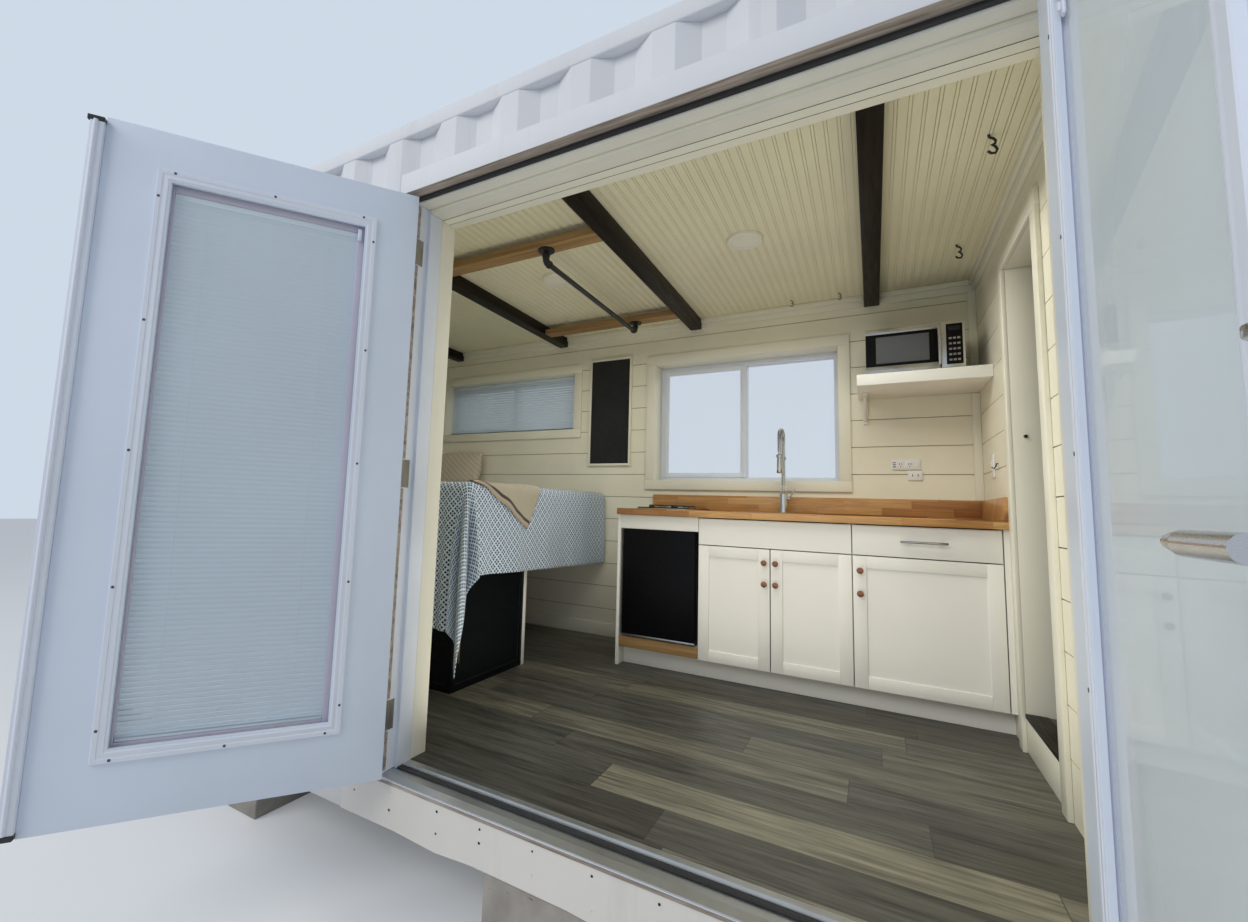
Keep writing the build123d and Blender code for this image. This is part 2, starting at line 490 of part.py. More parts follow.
for side, place in (("left", place_left), ("right", place_right)):
    for kind, solids in leaf(side).items():
        save(f"{side}_{kind}", *[place(s) for s in solids])
save("astragal", place_left(astragal()))
save("lock_set", *[place_right(s) for s in lock_set()])

# Windows: bars with the glass between them
frame_y0, frame_y1 = OUT_Y + 8 - WIN_DEPTH, OUT_Y + 8
bars, glass = [], []
for wx0, wx1, wz0, wz1 in windows.values():
    x0, x1, z0, z1 = wx0 + SEAM, wx1 - SEAM, wz0 + SEAM, wz1 - SEAM
    mid = (x0 + x1) / 2
    bars.append(block(x0, x1, frame_y0, frame_y1, z0, z0 + WIN_BAR))
    bars.append(block(x0, x1, frame_y0, frame_y1, z1 - WIN_BAR, z1))
    low, high = z0 + WIN_BAR + SEAM / 2, z1 - WIN_BAR - SEAM / 2
    for bx0, bx1 in ((x0, x0 + WIN_BAR), (mid - WIN_BAR / 2, mid + WIN_BAR / 2), (x1 - WIN_BAR, x1)):
        bars.append(block(bx0, bx1, frame_y0, frame_y1, low, high))
    for gx0, gx1 in ((x0 + WIN_BAR, mid - WIN_BAR / 2), (mid + WIN_BAR / 2, x1 - WIN_BAR)):
        glass.append(block(gx0 + SEAM, gx1 - SEAM, frame_y0 + 26, frame_y0 + 32, low + SEAM, high - SEAM))
save("window_frames", *bars)
save("window_glass", *glass)

# Beams under the ceiling, two short ties and a pipe that hangs from them
beam_xs = [BEAM_FIRST + i * BEAM_PITCH for i in range(BEAM_COUNT)]
beam_z = under_ceiling - BEAM_H
save("ceiling_beams", *[block(bx - BEAM_W / 2, bx + BEAM_W / 2, -end_in, end_in, beam_z, under_ceiling)
                        for bx in beam_xs])
tie_x0, tie_x1 = beam_xs[1] + BEAM_W / 2 + SEAM, beam_xs[2] - BEAM_W / 2 - SEAM
save("beam_ties", *[block(tie_x0, tie_x1, ty, ty + TIE_W, beam_z, beam_z + TIE_T) for ty in TIE_YS])

pipe_z = beam_z - SEAM - PIPE_DROP
pipe_ys = [ty + TIE_W / 2 for ty in TIE_YS]
bend = 1.6 * PIPE_R
route = FilletPolyline((PIPE_X, pipe_ys[0], beam_z - SEAM), (PIPE_X, pipe_ys[0], pipe_z),
                       (PIPE_X, pipe_ys[1], pipe_z), (PIPE_X, pipe_ys[1], beam_z - SEAM), radius=bend)
ring = Plane(origin=(PIPE_X, pipe_ys[0], beam_z - SEAM), z_dir=(0, 0, -1)) * Circle(PIPE_R)
pipe = sweep(ring, path=route)
for py in pipe_ys:
    pipe += rod(PIPE_X, py, beam_z - SEAM - 7, beam_z - SEAM, FLANGE_R)
save("pipe_rail", pipe)

lights = []
for i in range(BEAM_COUNT - 1):
    lx = (beam_xs[i] + beam_xs[i + 1]) / 2
    lights.append(rod(lx, 0, under_ceiling - LIGHT_T, under_ceiling, LIGHT_R))
save("ceiling_lights", *lights)

# Kitchen units, made of panels
unit_back = IN_Y - SEAM
unit_front = unit_back - UNIT_DEPTH
unit_top = FLOOR + UNIT_TOP
toe_top = FLOOR + TOE_H
drawer_x1 = PARTITION_X - FILLER_W
drawer_x0 = drawer_x1 - DRAWER_UNIT_W
sink_x0 = drawer_x0 - SINK_UNIT_W
bay_x0 = sink_x0 - FRIDGE_BAY_W
sides = []
for x0, x1 in ((sink_x0, drawer_x0), (drawer_x0, drawer_x1)):
    x0, x1 = x0 + SEAM, x1 - SEAM
    sides.append(block(x0, x0 + PANEL, unit_front, unit_back, toe_top, unit_top))
    sides.append(block(x1 - PANEL, x1, unit_front, unit_back, toe_top, unit_top))
    sides.append(block(x0 + PANEL + SEAM, x1 - PANEL - SEAM, unit_front, unit_back - 7,
                       toe_top, toe_top + PANEL))
    sides.append(block(x0 + PANEL + SEAM, x1 - PANEL - SEAM, unit_back - 6, unit_back, toe_top, unit_top))
sides.append(block(bay_x0 - PANEL, bay_x0, unit_front - DOOR_T, unit_back, FLOOR + SEAM, unit_top))
toe_y = unit_front + TOE_BACK
sides.append(block(bay_x0 + SEAM, PARTITION_X - SEAM, toe_y, toe_y + PANEL, FLOOR + SEAM, toe_top - SEAM))
sides.append(block(drawer_x1, PARTITION_X - SEAM, unit_front - DOOR_T, unit_front + PANEL,
                   toe_top, unit_top))
for x in (sink_x0 + 40, drawer_x0 - PANEL / 2, drawer_x1 - 60):
    sides.append(block(x, x + PANEL, toe_y + PANEL + SEAM, unit_back, FLOOR + SEAM, toe_top - SEAM))
front_y1 = unit_front - DOOR_GAP
front_y0 = front_y1 - DOOR_T
split_z = unit_top - TOP_FRONT_H
false_front = block(sink_x0 + FRONT_GAP / 2, drawer_x0 - FRONT_GAP / 2, front_y0, unit_front - SEAM,
                    split_z + FRONT_GAP / 2, unit_top - FRONT_GAP)
sides.append(false_front)
bay_top = FLOOR + FRIDGE_LIFT - SEAM
sides.append(block(bay_x0 + SEAM, sink_x0 - SEAM, unit_front, unit_back, toe_top, bay_top))
run_x0, run_x1 = drawer_x0 + PANEL + RUNNER_T, drawer_x1 - PANEL - RUNNER_T
box_z0, box_z1 = split_z + 20, unit_top - 30
for x0, x1 in ((drawer_x0 + PANEL + 2 * SEAM, run_x0 - SEAM), (run_x1 + SEAM, drawer_x1 - PANEL - 2 * SEAM)):
    sides.append(block(x0, x1, unit_front + 4, unit_front + DRAWER_LENGTH - 20, box_z0 + 20, box_z0 + 60))
save("base_units", *sides)


def shaker(x0, x1, z0, z1, knobs):
    """A cupboard door with a sunk panel and round knobs on its face."""
    door = block(x0, x1, front_y0, front_y1, z0, z1)
    door -= block(x0 + DOOR_RAIL, x1 - DOOR_RAIL, front_y0 - 1, front_y0 + 6, z0 + DOOR_RAIL, z1 - DOOR_RAIL)
    for kx, kz in knobs:
        stem = Pos(kx, front_y0 - 9, kz) * (Rot(90, 0, 0) * Cylinder(6, 20))
        door += stem + Pos(kx, front_y0 - 20, kz) * (Rot(90, 0, 0) * Cylinder(15, 10))
    return door


door_z0, door_z1 = toe_top, split_z - FRONT_GAP / 2
sink_mid = (sink_x0 + drawer_x0) / 2
knob_zs = [door_z1 - drop for drop in KNOB_DROPS]
save("sink_door_left", shaker(sink_x0 + FRONT_GAP / 2, sink_mid - FRONT_GAP / 2, door_z0, door_z1,
                              [(sink_mid - 28, z) for z in knob_zs]))
save("sink_door_right", shaker(sink_mid + FRONT_GAP / 2, drawer_x0 - FRONT_GAP / 2, door_z0, door_z1,
                               [(sink_mid + 28, z) for z in knob_zs]))
save("unit_door", shaker(drawer_x0 + FRONT_GAP / 2, drawer_x1 - FRONT_GAP, door_z0, door_z1,
                         [(drawer_x0 + 34, z) for z in knob_zs]))

# Drawer: front with a bar pull, box behind it
drawer = block(drawer_x0 + FRONT_GAP / 2, drawer_x1 - FRONT_GAP, front_y0, front_y1,
               split_z + FRONT_GAP / 2, unit_top - FRONT_GAP)
drawer += block(run_x0, run_x1, front_y1 - 1, front_y1 + DRAWER_LENGTH, box_z0, box_z1)
drawer -= block(run_x0 + DRAWER_WALL, run_x1 - DRAWER_WALL, front_y1 + DRAWER_WALL,
                front_y1 + DRAWER_LENGTH - DRAWER_WALL, box_z0 + 8, box_z1 + 1)
pull_z = (split_z + unit_top) / 2
pull_x = (drawer_x0 + drawer_x1) / 2
bar = Pos(pull_x, front_y0 - 28, pull_z) * (Rot(0, 90, 0) * Cylinder(6, PULL_LENGTH))
for px in (pull_x - PULL_POST_GAP / 2, pull_x + PULL_POST_GAP / 2):
    bar += Pos(px, front_y0 - 13.5, pull_z) * (Rot(90, 0, 0) * Cylinder(4.5, 28))
drawer += bar
save("drawer", drawer)

# Worktop with upstands, sink, tap and hob
top_z0, top_z1 = unit_top + SEAM, unit_top + WORKTOP_T
top_front = unit_back - WORKTOP_DEPTH
sink_y = (top_front + unit_back) / 2 - 12
cut = (sink_mid - SINK_CUT_W / 2, sink_mid + SINK_CUT_W / 2,
       sink_y - SINK_CUT_D / 2, sink_y + SINK_CUT_D / 2)
worktop = block(bay_x0 - PANEL, PARTITION_X - SEAM, top_front, unit_back, top_z0, top_z1)
worktop -= block(*cut, top_z0 - 1, top_z1 + 1)
splash_z0 = top_z1 + SEAM
save("worktop", worktop,
     block(bay_x0 - PANEL, PARTITION_X - SEAM, unit_back - SPLASH_T, unit_back,
           splash_z0, splash_z0 + SPLASH_H),
     block(PARTITION_X - SPLASH_T - SEAM, PARTITION_X - SEAM, top_front, unit_back - SPLASH_T - SEAM,
           splash_z0, splash_z0 + SPLASH_H))

bowl_out = (cut[0] + 2, cut[1] - 2, cut[2] + 2, cut[3] - 2)
bowl = block(*bowl_out, top_z1 - SINK_DEPTH, top_z1 + SEAM)
bowl += block(cut[0] - 14, cut[1] + 14, cut[2] - 14, cut[3] + 14, top_z1 + SEAM, top_z1 + SEAM + 2.5)
bowl -= block(bowl_out[0] + SINK_T, bowl_out[1] - SINK_T, bowl_out[2] + SINK_T, bowl_out[3] - SINK_T,
              top_z1 - SINK_DEPTH + SINK_T, top_z1 + 10)
save("sink", bowl)

tap_y = cut[3] + 48
tap_z = top_z1 + SEAM
arc_r = TAP_REACH / 2
tap_top = tap_z + TAP_H - arc_r - TAP_R
neck = Line((sink_mid, tap_y, tap_z + 4), (sink_mid, tap_y, tap_top))
over = ThreePointArc((sink_mid, tap_y, tap_top), (sink_mid, tap_y - arc_r, tap_top + arc_r),
                     (sink_mid, tap_y - TAP_REACH, tap_top))
down = Line((sink_mid, tap_y - TAP_REACH, tap_top), (sink_mid, tap_y - TAP_REACH, tap_top - TAP_DROP))
path = Wire([neck.edge(), over.edge(), down.edge()])
tap = sweep(Plane(origin=(sink_mid, tap_y, tap_z + 4), z_dir=(0, 0, 1)) * Circle(TAP_R), path=path)
tap += rod(sink_mid, tap_y, tap_z, tap_z + 130, 24)
tap += block(sink_mid + 10, sink_mid + 75, tap_y - 8, tap_y + 8, tap_z + 84, tap_z + 98)
tap += block(sink_mid - 8, sink_mid + 8, tap_y - TAP_REACH, tap_y,
             tap_top - TAP_DROP / 2, tap_top - TAP_DROP / 2 + 12)
save("tap", tap)

hob_x = (bay_x0 + sink_x0) / 2
hob_y = top_front + 70
hob = block(hob_x - HOB_W / 2, hob_x + HOB_W / 2, hob_y, hob_y + HOB_D, top_z1 + SEAM, top_z1 + HOB_T)
for ring_y in (hob_y + RING_IN, hob_y + RING_IN + RING_PITCH):
    hob += rod(hob_x, ring_y, top_z1 + HOB_T - 1, top_z1 + HOB_T + 9, RING_R)
save("hob", hob)

# Compact fridge in its bay
fx0, fx1 = hob_x - FRIDGE_W / 2, hob_x + FRIDGE_W / 2
fz0, fz1 = FLOOR + FRIDGE_LIFT, FLOOR + FRIDGE_LIFT + FRIDGE_H
fy0 = front_y0 + FRIDGE_DOOR_T + DOOR_GAP
fridge = block(fx0, fx1, fy0, fy0 + FRIDGE_D, fz0, fz1)
fridge -= block(fx0 + FRIDGE_WALL, fx1 - FRIDGE_WALL, fy0 - 1, fy0 + FRIDGE_D - FRIDGE_WALL - 30,
                fz0 + FRIDGE_WALL, fz1 - FRIDGE_WALL)
save("fridge", fridge)
save("fridge_door", block(fx0, fx1, front_y0, front_y0 + FRIDGE_DOOR_T, fz0 + 6, fz1))

# Shelf with the oven on it, and the framed board
shelf_x0, shelf_x1 = PARTITION_X - SEAM - SHELF_W, PARTITION_X - SEAM
shelf_z0 = FLOOR + SHELF_LIFT
save("wall_shelf", block(shelf_x0, shelf_x1, unit_back - SHELF_D, unit_back, shelf_z0, shelf_z0 + SHELF_T))
oven_z0 = shelf_z0 + SHELF_T + SEAM
oven_x0 = shelf_x0 + 45
oven_y0 = unit_back - SHELF_D + 36
oven = block(oven_x0, oven_x0 + OVEN_W, oven_y0 + 12, oven_y0 + OVEN_D, oven_z0 + 10, oven_z0 + OVEN_H)
oven += block(oven_x0, oven_x0 + OVEN_W, oven_y0, oven_y0 + 12, oven_z0 + 8, oven_z0 + OVEN_H)
for ox in (oven_x0 + 30, oven_x0 + OVEN_W - 30):
    for oy in (oven_y0 + 45, oven_y0 + OVEN_D - 40):
        oven += rod(ox, oy, oven_z0, oven_z0 + 12, 12)
save("microwave", oven)
board_z0 = FLOOR + BOARD_LIFT
save("wall_board", block(BOARD_X - BOARD_W / 2, BOARD_X + BOARD_W / 2, unit_back - BOARD_T, unit_back,
                         board_z0, board_z0 + BOARD_H))

# Bed: a chest under the front half, a deck on it and on a ledger, and the bedding
deck_z0 = FLOOR + DECK_LIFT
chest_y0 = BED_Y0 - CHEST_FRONT
panel_y = chest_y0 + CHEST_D + SEAM
chest_x1 = BED_X1 - CHEST_INSET
save("bed_chest",
     block(BED_X0, chest_x1, chest_y0, chest_y0 + CHEST_D, FLOOR + SEAM, deck_z0 - SEAM),
     block(BED_X0, chest_x1 + 3, panel_y, panel_y + CHEST_BACK, FLOOR + SEAM, deck_z0 - SEAM))
save("bed_deck",
     block(BED_X0, BED_X1 - 20, BED_Y0, BED_Y1, deck_z0, deck_z0 + BED_DECK_T),
     block(BED_X0, BED_X1 - 60, unit_back - LEDGER_T, unit_back, deck_z0 - LEDGER_H, deck_z0 - SEAM))
bed_z0 = deck_z0 + BED_DECK_T + SOFT_GAP
bed_z1 = bed_z0 + MATTRESS_T
mattress = block(BED_X0, BED_X1, BED_Y0, BED_Y1, bed_z0, bed_z1)
save("mattress", fillet(mattress.edges(), 40))

cover_x1, cover_y0 = BED_X1 + SOFT_GAP, BED_Y0 - CHEST_FRONT - SOFT_GAP
cover_z0 = bed_z1 + SOFT_GAP
cover_z1 = cover_z0 + COVER_T
cover = block(BED_X0, cover_x1 + COVER_T, cover_y0 - COVER_T, BED_Y1, cover_z0, cover_z1)
cover += block(cover_x1, cover_x1 + COVER_T, cover_y0 - COVER_T, BED_Y1, FLOOR + COVER_SIDE_HEM, cover_z1)
cover += block(BED_X0, cover_x1 + COVER_T, cover_y0 - COVER_T, cover_y0, FLOOR + COVER_FRONT_HEM, cover_z1)
save("bed_cover", cover)

throw_x1 = cover_x1 + COVER_T + SOFT_GAP
throw_z0 = cover_z1 + SOFT_GAP
throw_y0 = BED_Y0 + THROW_START
throw_y1 = throw_y0 + THROW_W
throw_line = Polyline((throw_y0, throw_z0), (throw_y1, throw_z0),
                      (throw_y0 + THROW_TIP, throw_z0 - THROW_DROP), close=True)
flap = Pos(throw_x1, 0, 0) * extrude(make_face(Plane.YZ * throw_line), amount=THROW_T, dir=(1, 0, 0))
edge_x = throw_x1 + THROW_T
far_corners = [(throw_x1 - back, throw_y0 + along) for back, along in THROW_CORNERS]
sheet_line = Polyline((edge_x, throw_y0), (edge_x, throw_y1), *far_corners, close=True)
top_sheet = Pos(0, 0, throw_z0) * extrude(make_face(sheet_line), amount=THROW_T, dir=(0, 0, 1))
save("throw", top_sheet + flap)

pillow = Box(PILLOW_W, PILLOW_T, PILLOW_H)
pillow = Rot(-PILLOW_LEAN, 0, 0) * fillet(pillow.edges(), 50)
reach_box = pillow.bounding_box()
pillow_y = unit_back - SOFT_GAP - reach_box.max.Y
save("pillow", Pos(BED_X0 + PILLOW_IN, pillow_y, cover_z1 + SOFT_GAP - reach_box.min.Z) * pillow)
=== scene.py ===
# %% [markdown]
# A cabin made from a shipping container
#
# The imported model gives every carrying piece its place. This script dresses it: it gives each
# piece its finish, and it adds what is too fine for the model, such as boards, slats, staves,
# screws and cloth. Everything is in metres, with +X along the entrance side, +Y into the
# cabin and +Z up.

# %% Load the frame
import bpy
import bmesh
import math
import random
from mathutils import Matrix, Vector


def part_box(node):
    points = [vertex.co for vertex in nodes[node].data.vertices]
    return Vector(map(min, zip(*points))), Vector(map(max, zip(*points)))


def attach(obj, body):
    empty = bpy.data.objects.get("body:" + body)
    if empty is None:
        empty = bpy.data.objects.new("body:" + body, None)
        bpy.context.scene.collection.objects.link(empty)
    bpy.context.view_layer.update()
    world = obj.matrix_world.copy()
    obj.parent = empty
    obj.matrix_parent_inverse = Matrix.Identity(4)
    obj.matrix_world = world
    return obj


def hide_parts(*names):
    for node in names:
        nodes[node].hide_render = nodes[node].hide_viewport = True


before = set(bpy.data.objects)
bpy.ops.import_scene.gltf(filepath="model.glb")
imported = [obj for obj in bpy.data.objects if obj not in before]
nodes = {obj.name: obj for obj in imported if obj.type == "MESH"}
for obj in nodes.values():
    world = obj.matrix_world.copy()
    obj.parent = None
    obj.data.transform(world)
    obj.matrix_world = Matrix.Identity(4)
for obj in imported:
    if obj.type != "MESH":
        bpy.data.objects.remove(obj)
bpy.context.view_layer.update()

# %% [markdown]
# The camera is a wide lens that stands on the ground before the left door and looks up into
# the room. Its place was worked out from the straight edges of the doors and the kitchen, so
# it is written as one point, two turns and a roll.

# %% Camera
PHOTO_W, PHOTO_H = 1248.0, 922.0
FOCAL_PX = 536.0
CENTRE_PX = (566.32, 452.42)
CAMERA_AT = Vector((1.0305, -2.5971, 1.2893))
YAW, PITCH, ROLL = math.radians(29.855), math.radians(5.76), math.radians(1.973)

forward = Vector((-math.sin(YAW) * math.cos(PITCH), math.cos(YAW) * math.cos(PITCH), math.sin(PITCH)))
level_right = Vector((math.cos(YAW), math.sin(YAW), 0.0))
level_up = level_right.cross(forward)
right = level_right * math.cos(ROLL) + level_up * math.sin(ROLL)
up = level_up * math.cos(ROLL) - level_right * math.sin(ROLL)
camera_data = bpy.data.cameras.new("camera")
camera_data.sensor_width = 36.0
camera_data.lens = FOCAL_PX / PHOTO_W * camera_data.sensor_width
camera_data.shift_x = (PHOTO_W / 2 - CENTRE_PX[0]) / PHOTO_W
camera_data.shift_y = (CENTRE_PX[1] - PHOTO_H / 2) / PHOTO_W
camera_data.clip_start, camera_data.clip_end = 0.05, 100.0
camera = bpy.data.objects.new("camera", camera_data)
bpy.context.scene.collection.objects.link(camera)
turn = Matrix((right, up, -forward)).transposed().to_4x4()
camera.matrix_world = Matrix.Translation(CAMERA_AT) @ turn
bpy.context.scene.camera = camera
print("camera lens", round(camera_data.lens, 2), "mm")

# %% [markdown]
# Materials are built from a few helpers: one makes a Principled material and hands back its
# nodes, one adds a node and fills its sockets, and one joins two sockets. Patterns that
# several materials share are node groups with named inputs.

# %% Node helpers
def add(tree, kind, values=None, **settings):
    """A node of this kind, with values for its inputs, by name or by number."""
    node = tree.nodes.new("ShaderNode" + kind)
    for key, value in settings.items():
        setattr(node, key, value)
    for key, value in (values or {}).items():
        if isinstance(value, bpy.types.NodeSocket):
            tree.links.new(value, node.inputs[key])
        else:
            node.inputs[key].default_value = value
    return node


def math_node(tree, operation, a, b=0.0, c=0.0):
    """The result of one sum on two or three numbers or sockets."""
    return add(tree, "Math", {0: a, 1: b, 2: c}, operation=operation).outputs[0]


def plus(tree, a, b):
    """One value added to another."""
    return math_node(tree, "ADD", a, b)


def minus(tree, a, b):
    """One value less another."""
    return math_node(tree, "SUBTRACT", a, b)


def times(tree, a, b):
    """One value times another."""
    return math_node(tree, "MULTIPLY", a, b)


def blend_colour(tree, share, first, second, kind="MIX"):
    """Two colours mixed by a share from 0 to 1."""
    node = add(tree, "Mix", {0: share, 6: first, 7: second}, data_type="RGBA", blend_type=kind)
    return node.outputs[2]


def map_range(tree, value, low, high, to_low=0.0, to_high=1.0):
    """A number moved from one range to another, and kept inside it."""
    node = add(tree, "MapRange", {0: value, 1: low, 2: high, 3: to_low, 4: to_high})
    return node.outputs[0]


def noise(tree, place, scale, detail, **more):
    """The height of a noise on these coordinates."""
    values = {"Vector": place, "Scale": scale, "Detail": detail, **more}
    return add(tree, "TexNoise", values).outputs["Fac"]


def split(tree, vector):
    """The three coordinates of a vector."""
    return add(tree, "SeparateXYZ", {0: vector}).outputs


def joined(tree, x, y, z):
    """A vector from three coordinates."""
    return add(tree, "CombineXYZ", {0: x, 1: y, 2: z}).outputs[0]


def grey(tree, level):
    """A grey as bright as this level."""
    return add(tree, "CombineColor", {0: level, 1: level, 2: level}).outputs[0]


def rgb(red, green, blue):
    """A colour with its alpha."""
    return (red, green, blue, 1.0)


def new_group(name, inputs, outputs):
    """A node group, what it gets and what it gives out. An input with no value is a vector."""
    group = bpy.data.node_groups.new(name, "ShaderNodeTree")
    for socket, value in inputs.items():
        kind = "Vector" if value is None else "Float" if isinstance(value, float) else "Color"
        made = group.interface.new_socket(socket, in_out="INPUT", socket_type="NodeSocket" + kind)
        if value is not None:
            made.default_value = value
    for socket, kind in outputs.items():
        group.interface.new_socket(socket, in_out="OUTPUT", socket_type="NodeSocket" + kind)
    return group, group.nodes.new("NodeGroupInput").outputs, group.nodes.new("NodeGroupOutput").inputs


def hand_out(group, out, **values):
    """Join the results of a group to its outputs, and hand back the group."""
    for key, value in values.items():
        group.links.new(value, out[key])
    return group


def use(tree, group, **values):
    """A group placed in a material, with its inputs filled by name."""
    node = tree.nodes.new("ShaderNodeGroup")
    node.node_tree = group
    for key, value in values.items():
        socket = node.inputs[key.replace("_", " ")]
        if isinstance(value, bpy.types.NodeSocket):
            tree.links.new(value, socket)
        else:
            socket.default_value = value
    return node.outputs


def material(name, roughness=0.5, metallic=0.0, shine=0.5):
    """A new material: its node tree, its shader and its Object coordinates."""
    made = bpy.data.materials.new(name)
    made.use_nodes = True
    tree = made.node_tree
    shader = tree.nodes["Principled BSDF"]
    for key, value in (("Roughness", roughness), ("Metallic", metallic), ("Specular IOR Level", shine)):
        shader.inputs[key].default_value = value
    place = tree.nodes.new("ShaderNodeTexCoord").outputs["Object"]
    return made, tree, shader, place


def bump(tree, shader, height, strength=0.3, distance=0.001):
    """Relief from a height, on the shader's normal."""
    node = add(tree, "Bump", {"Height": height, "Strength": strength, "Distance": distance})
    tree.links.new(node.outputs[0], shader.inputs["Normal"])


def feed(tree, value, shader, socket):
    """Join a value to one of the shader's inputs."""
    tree.links.new(value, shader.inputs[socket])


# %% [markdown]
# Four patterns are shared. Cloudy turns one colour into a slightly uneven one and gives a
# matching height. Boards cuts a floor or a worktop into boards of one size, shifts each row by
# chance, and hands each board its own number. Grain is the long fine figure of wood. Spots is a
# mask of soft-edged patches, which serves for dirt, rust and chipped paint.

# %% Shared pattern groups
def make_cloudy():
    """One colour made a little uneven, as paint and plastic are."""
    inputs = {"Vector": None, "Colour": rgb(0.8, 0.8, 0.8), "Scale": 3.0, "Amount": 0.06}
    group, got, out = new_group("cloudy", inputs, {"Colour": "Color", "Value": "Float"})
    cloud = noise(group, got["Vector"], got["Scale"], 4.0)
    low = minus(group, 1.0, got["Amount"])
    high = plus(group, 1.0, times(group, got["Amount"], 0.5))
    level = map_range(group, cloud, 0.3, 0.7, low, high)
    made = blend_colour(group, 1.0, got["Colour"], grey(group, level), "MULTIPLY")
    return hand_out(group, out, Colour=made, Value=cloud)


def make_boards():
    """Boards along X, laid side by side along Y, each with its own number and joints."""
    inputs = {"Vector": None, "Length": 1.2, "Width": 0.18, "Joint": 0.002}
    group, got, out = new_group("boards", inputs, {"Own": "Float", "Gap": "Float", "Vector": "Vector"})
    parts = split(group, got["Vector"])
    row = math_node(group, "DIVIDE", parts[1], got["Width"])
    row_number = math_node(group, "FLOOR", row)
    shift = add(group, "TexWhiteNoise", {"W": row_number}, noise_dimensions="1D").outputs["Value"]
    along = plus(group, math_node(group, "DIVIDE", parts[0], got["Length"]), times(group, shift, 7.0))
    piece_number = math_node(group, "FLOOR", along)
    key = joined(group, row_number, piece_number, 3.7)
    own = add(group, "TexWhiteNoise", {"Vector": key}, noise_dimensions="3D").outputs["Value"]

    def edge(position, size):
        part = math_node(group, "FRACT", position)
        near = math_node(group, "MINIMUM", part, minus(group, 1.0, part))
        return math_node(group, "LESS_THAN", times(group, near, size), got["Joint"])

    gap = math_node(group, "MAXIMUM", edge(row, got["Width"]), edge(along, got["Length"]))
    moved = joined(group, parts[0], parts[1], plus(group, parts[2], times(group, own, 9.0)))
    return hand_out(group, out, Own=own, Gap=gap, Vector=moved)


def make_grain():
    """Long fine wood figure along X."""
    inputs = {"Vector": None, "Stretch": 14.0, "Scale": 5.0}
    group, got, out = new_group("grain", inputs, {"Value": "Float", "Fine": "Float"})
    squeeze = joined(group, 1.0, got["Stretch"], got["Stretch"])
    longer = add(group, "VectorMath", {0: got["Vector"], 1: squeeze}, operation="MULTIPLY").outputs[0]
    wide = noise(group, longer, times(group, got["Scale"], 0.4), 3.0, Distortion=1.2)
    rings = noise(group, longer, got["Scale"], 8.0, Roughness=0.65, Distortion=0.4)
    both = plus(group, times(group, wide, 0.55), times(group, rings, 0.45))
    return hand_out(group, out, Value=both, Fine=rings)


def make_spots():
    """Soft-edged spots and smears, for dirt, rust and worn paint."""
    inputs = {"Vector": None, "Scale": 2.0, "Cover": 0.3, "Edge": 0.06}
    group, got, out = new_group("spots", inputs, {"Mask": "Float"})
    spread = noise(group, got["Vector"], got["Scale"], 9.0, Roughness=0.62)
    start = minus(group, 1.0, got["Cover"])
    return hand_out(group, out, Mask=map_range(group, spread, start, plus(group, start, got["Edge"])))


CLOUDY, BOARDS, GRAIN, SPOTS = make_cloudy(), make_boards(), make_grain(), make_spots()
print("groups", [g.name for g in bpy.data.node_groups])

# %% [markdown]
# Painted steel. The container's paint is white and chalky: it is a little uneven, carries
# faint vertical dirt streaks, and shows a few rust freckles. The same recipe in other colours
# serves the apron and the dark cross members. Bare metals are brushed along one axis.

# %% Painted and bare metals
def painted_steel(name, colour, dirt=0.25, rust=0.12, roughness=0.45):
    """Chalky paint with streaks that run down and freckles of rust."""
    made, tree, shader, place = material(name, roughness)
    cloudy = use(tree, CLOUDY, Vector=place, Colour=colour, Scale=1.7, Amount=0.07)
    drawn = add(tree, "Mapping", {"Vector": place, "Scale": (9.0, 9.0, 0.7)})
    streak = use(tree, SPOTS, Vector=drawn.outputs[0], Scale=1.6, Cover=0.42, Edge=0.25)["Mask"]
    dirty = blend_colour(tree, times(tree, streak, dirt), cloudy["Colour"], rgb(0.42, 0.39, 0.34))
    freckle = use(tree, SPOTS, Vector=place, Scale=24.0, Cover=0.27, Edge=0.02)["Mask"]
    area = use(tree, SPOTS, Vector=place, Scale=1.3, Cover=0.4, Edge=0.1)["Mask"]
    where = times(tree, times(tree, freckle, area), rust * 5.0)
    feed(tree, blend_colour(tree, where, dirty, rgb(0.24, 0.11, 0.055)), shader, "Base Color")
    rough = map_range(tree, cloudy["Value"], 0.3, 0.7, roughness - 0.07, roughness + 0.12)
    feed(tree, rough, shader, "Roughness")
    bump(tree, shader, noise(tree, place, 90.0, 3.0), 0.12, 0.0015)
    return made


def brushed_metal(name, colour, roughness=0.32, across=(1.0, 120.0, 120.0)):
    """Metal brushed along one axis."""
    made, tree, shader, place = material(name, roughness, 1.0)
    fine = add(tree, "Mapping", {"Vector": place, "Scale": across})
    lines = noise(tree, fine.outputs[0], 9.0, 3.0)
    cloudy = use(tree, CLOUDY, Vector=place, Colour=colour, Scale=9.0, Amount=0.12)
    feed(tree, cloudy["Colour"], shader, "Base Color")
    feed(tree, map_range(tree, lines, 0.3, 0.7, roughness - 0.08, roughness + 0.1), shader, "Roughness")
    bump(tree, shader, lines, 0.08, 0.0004)
    return made


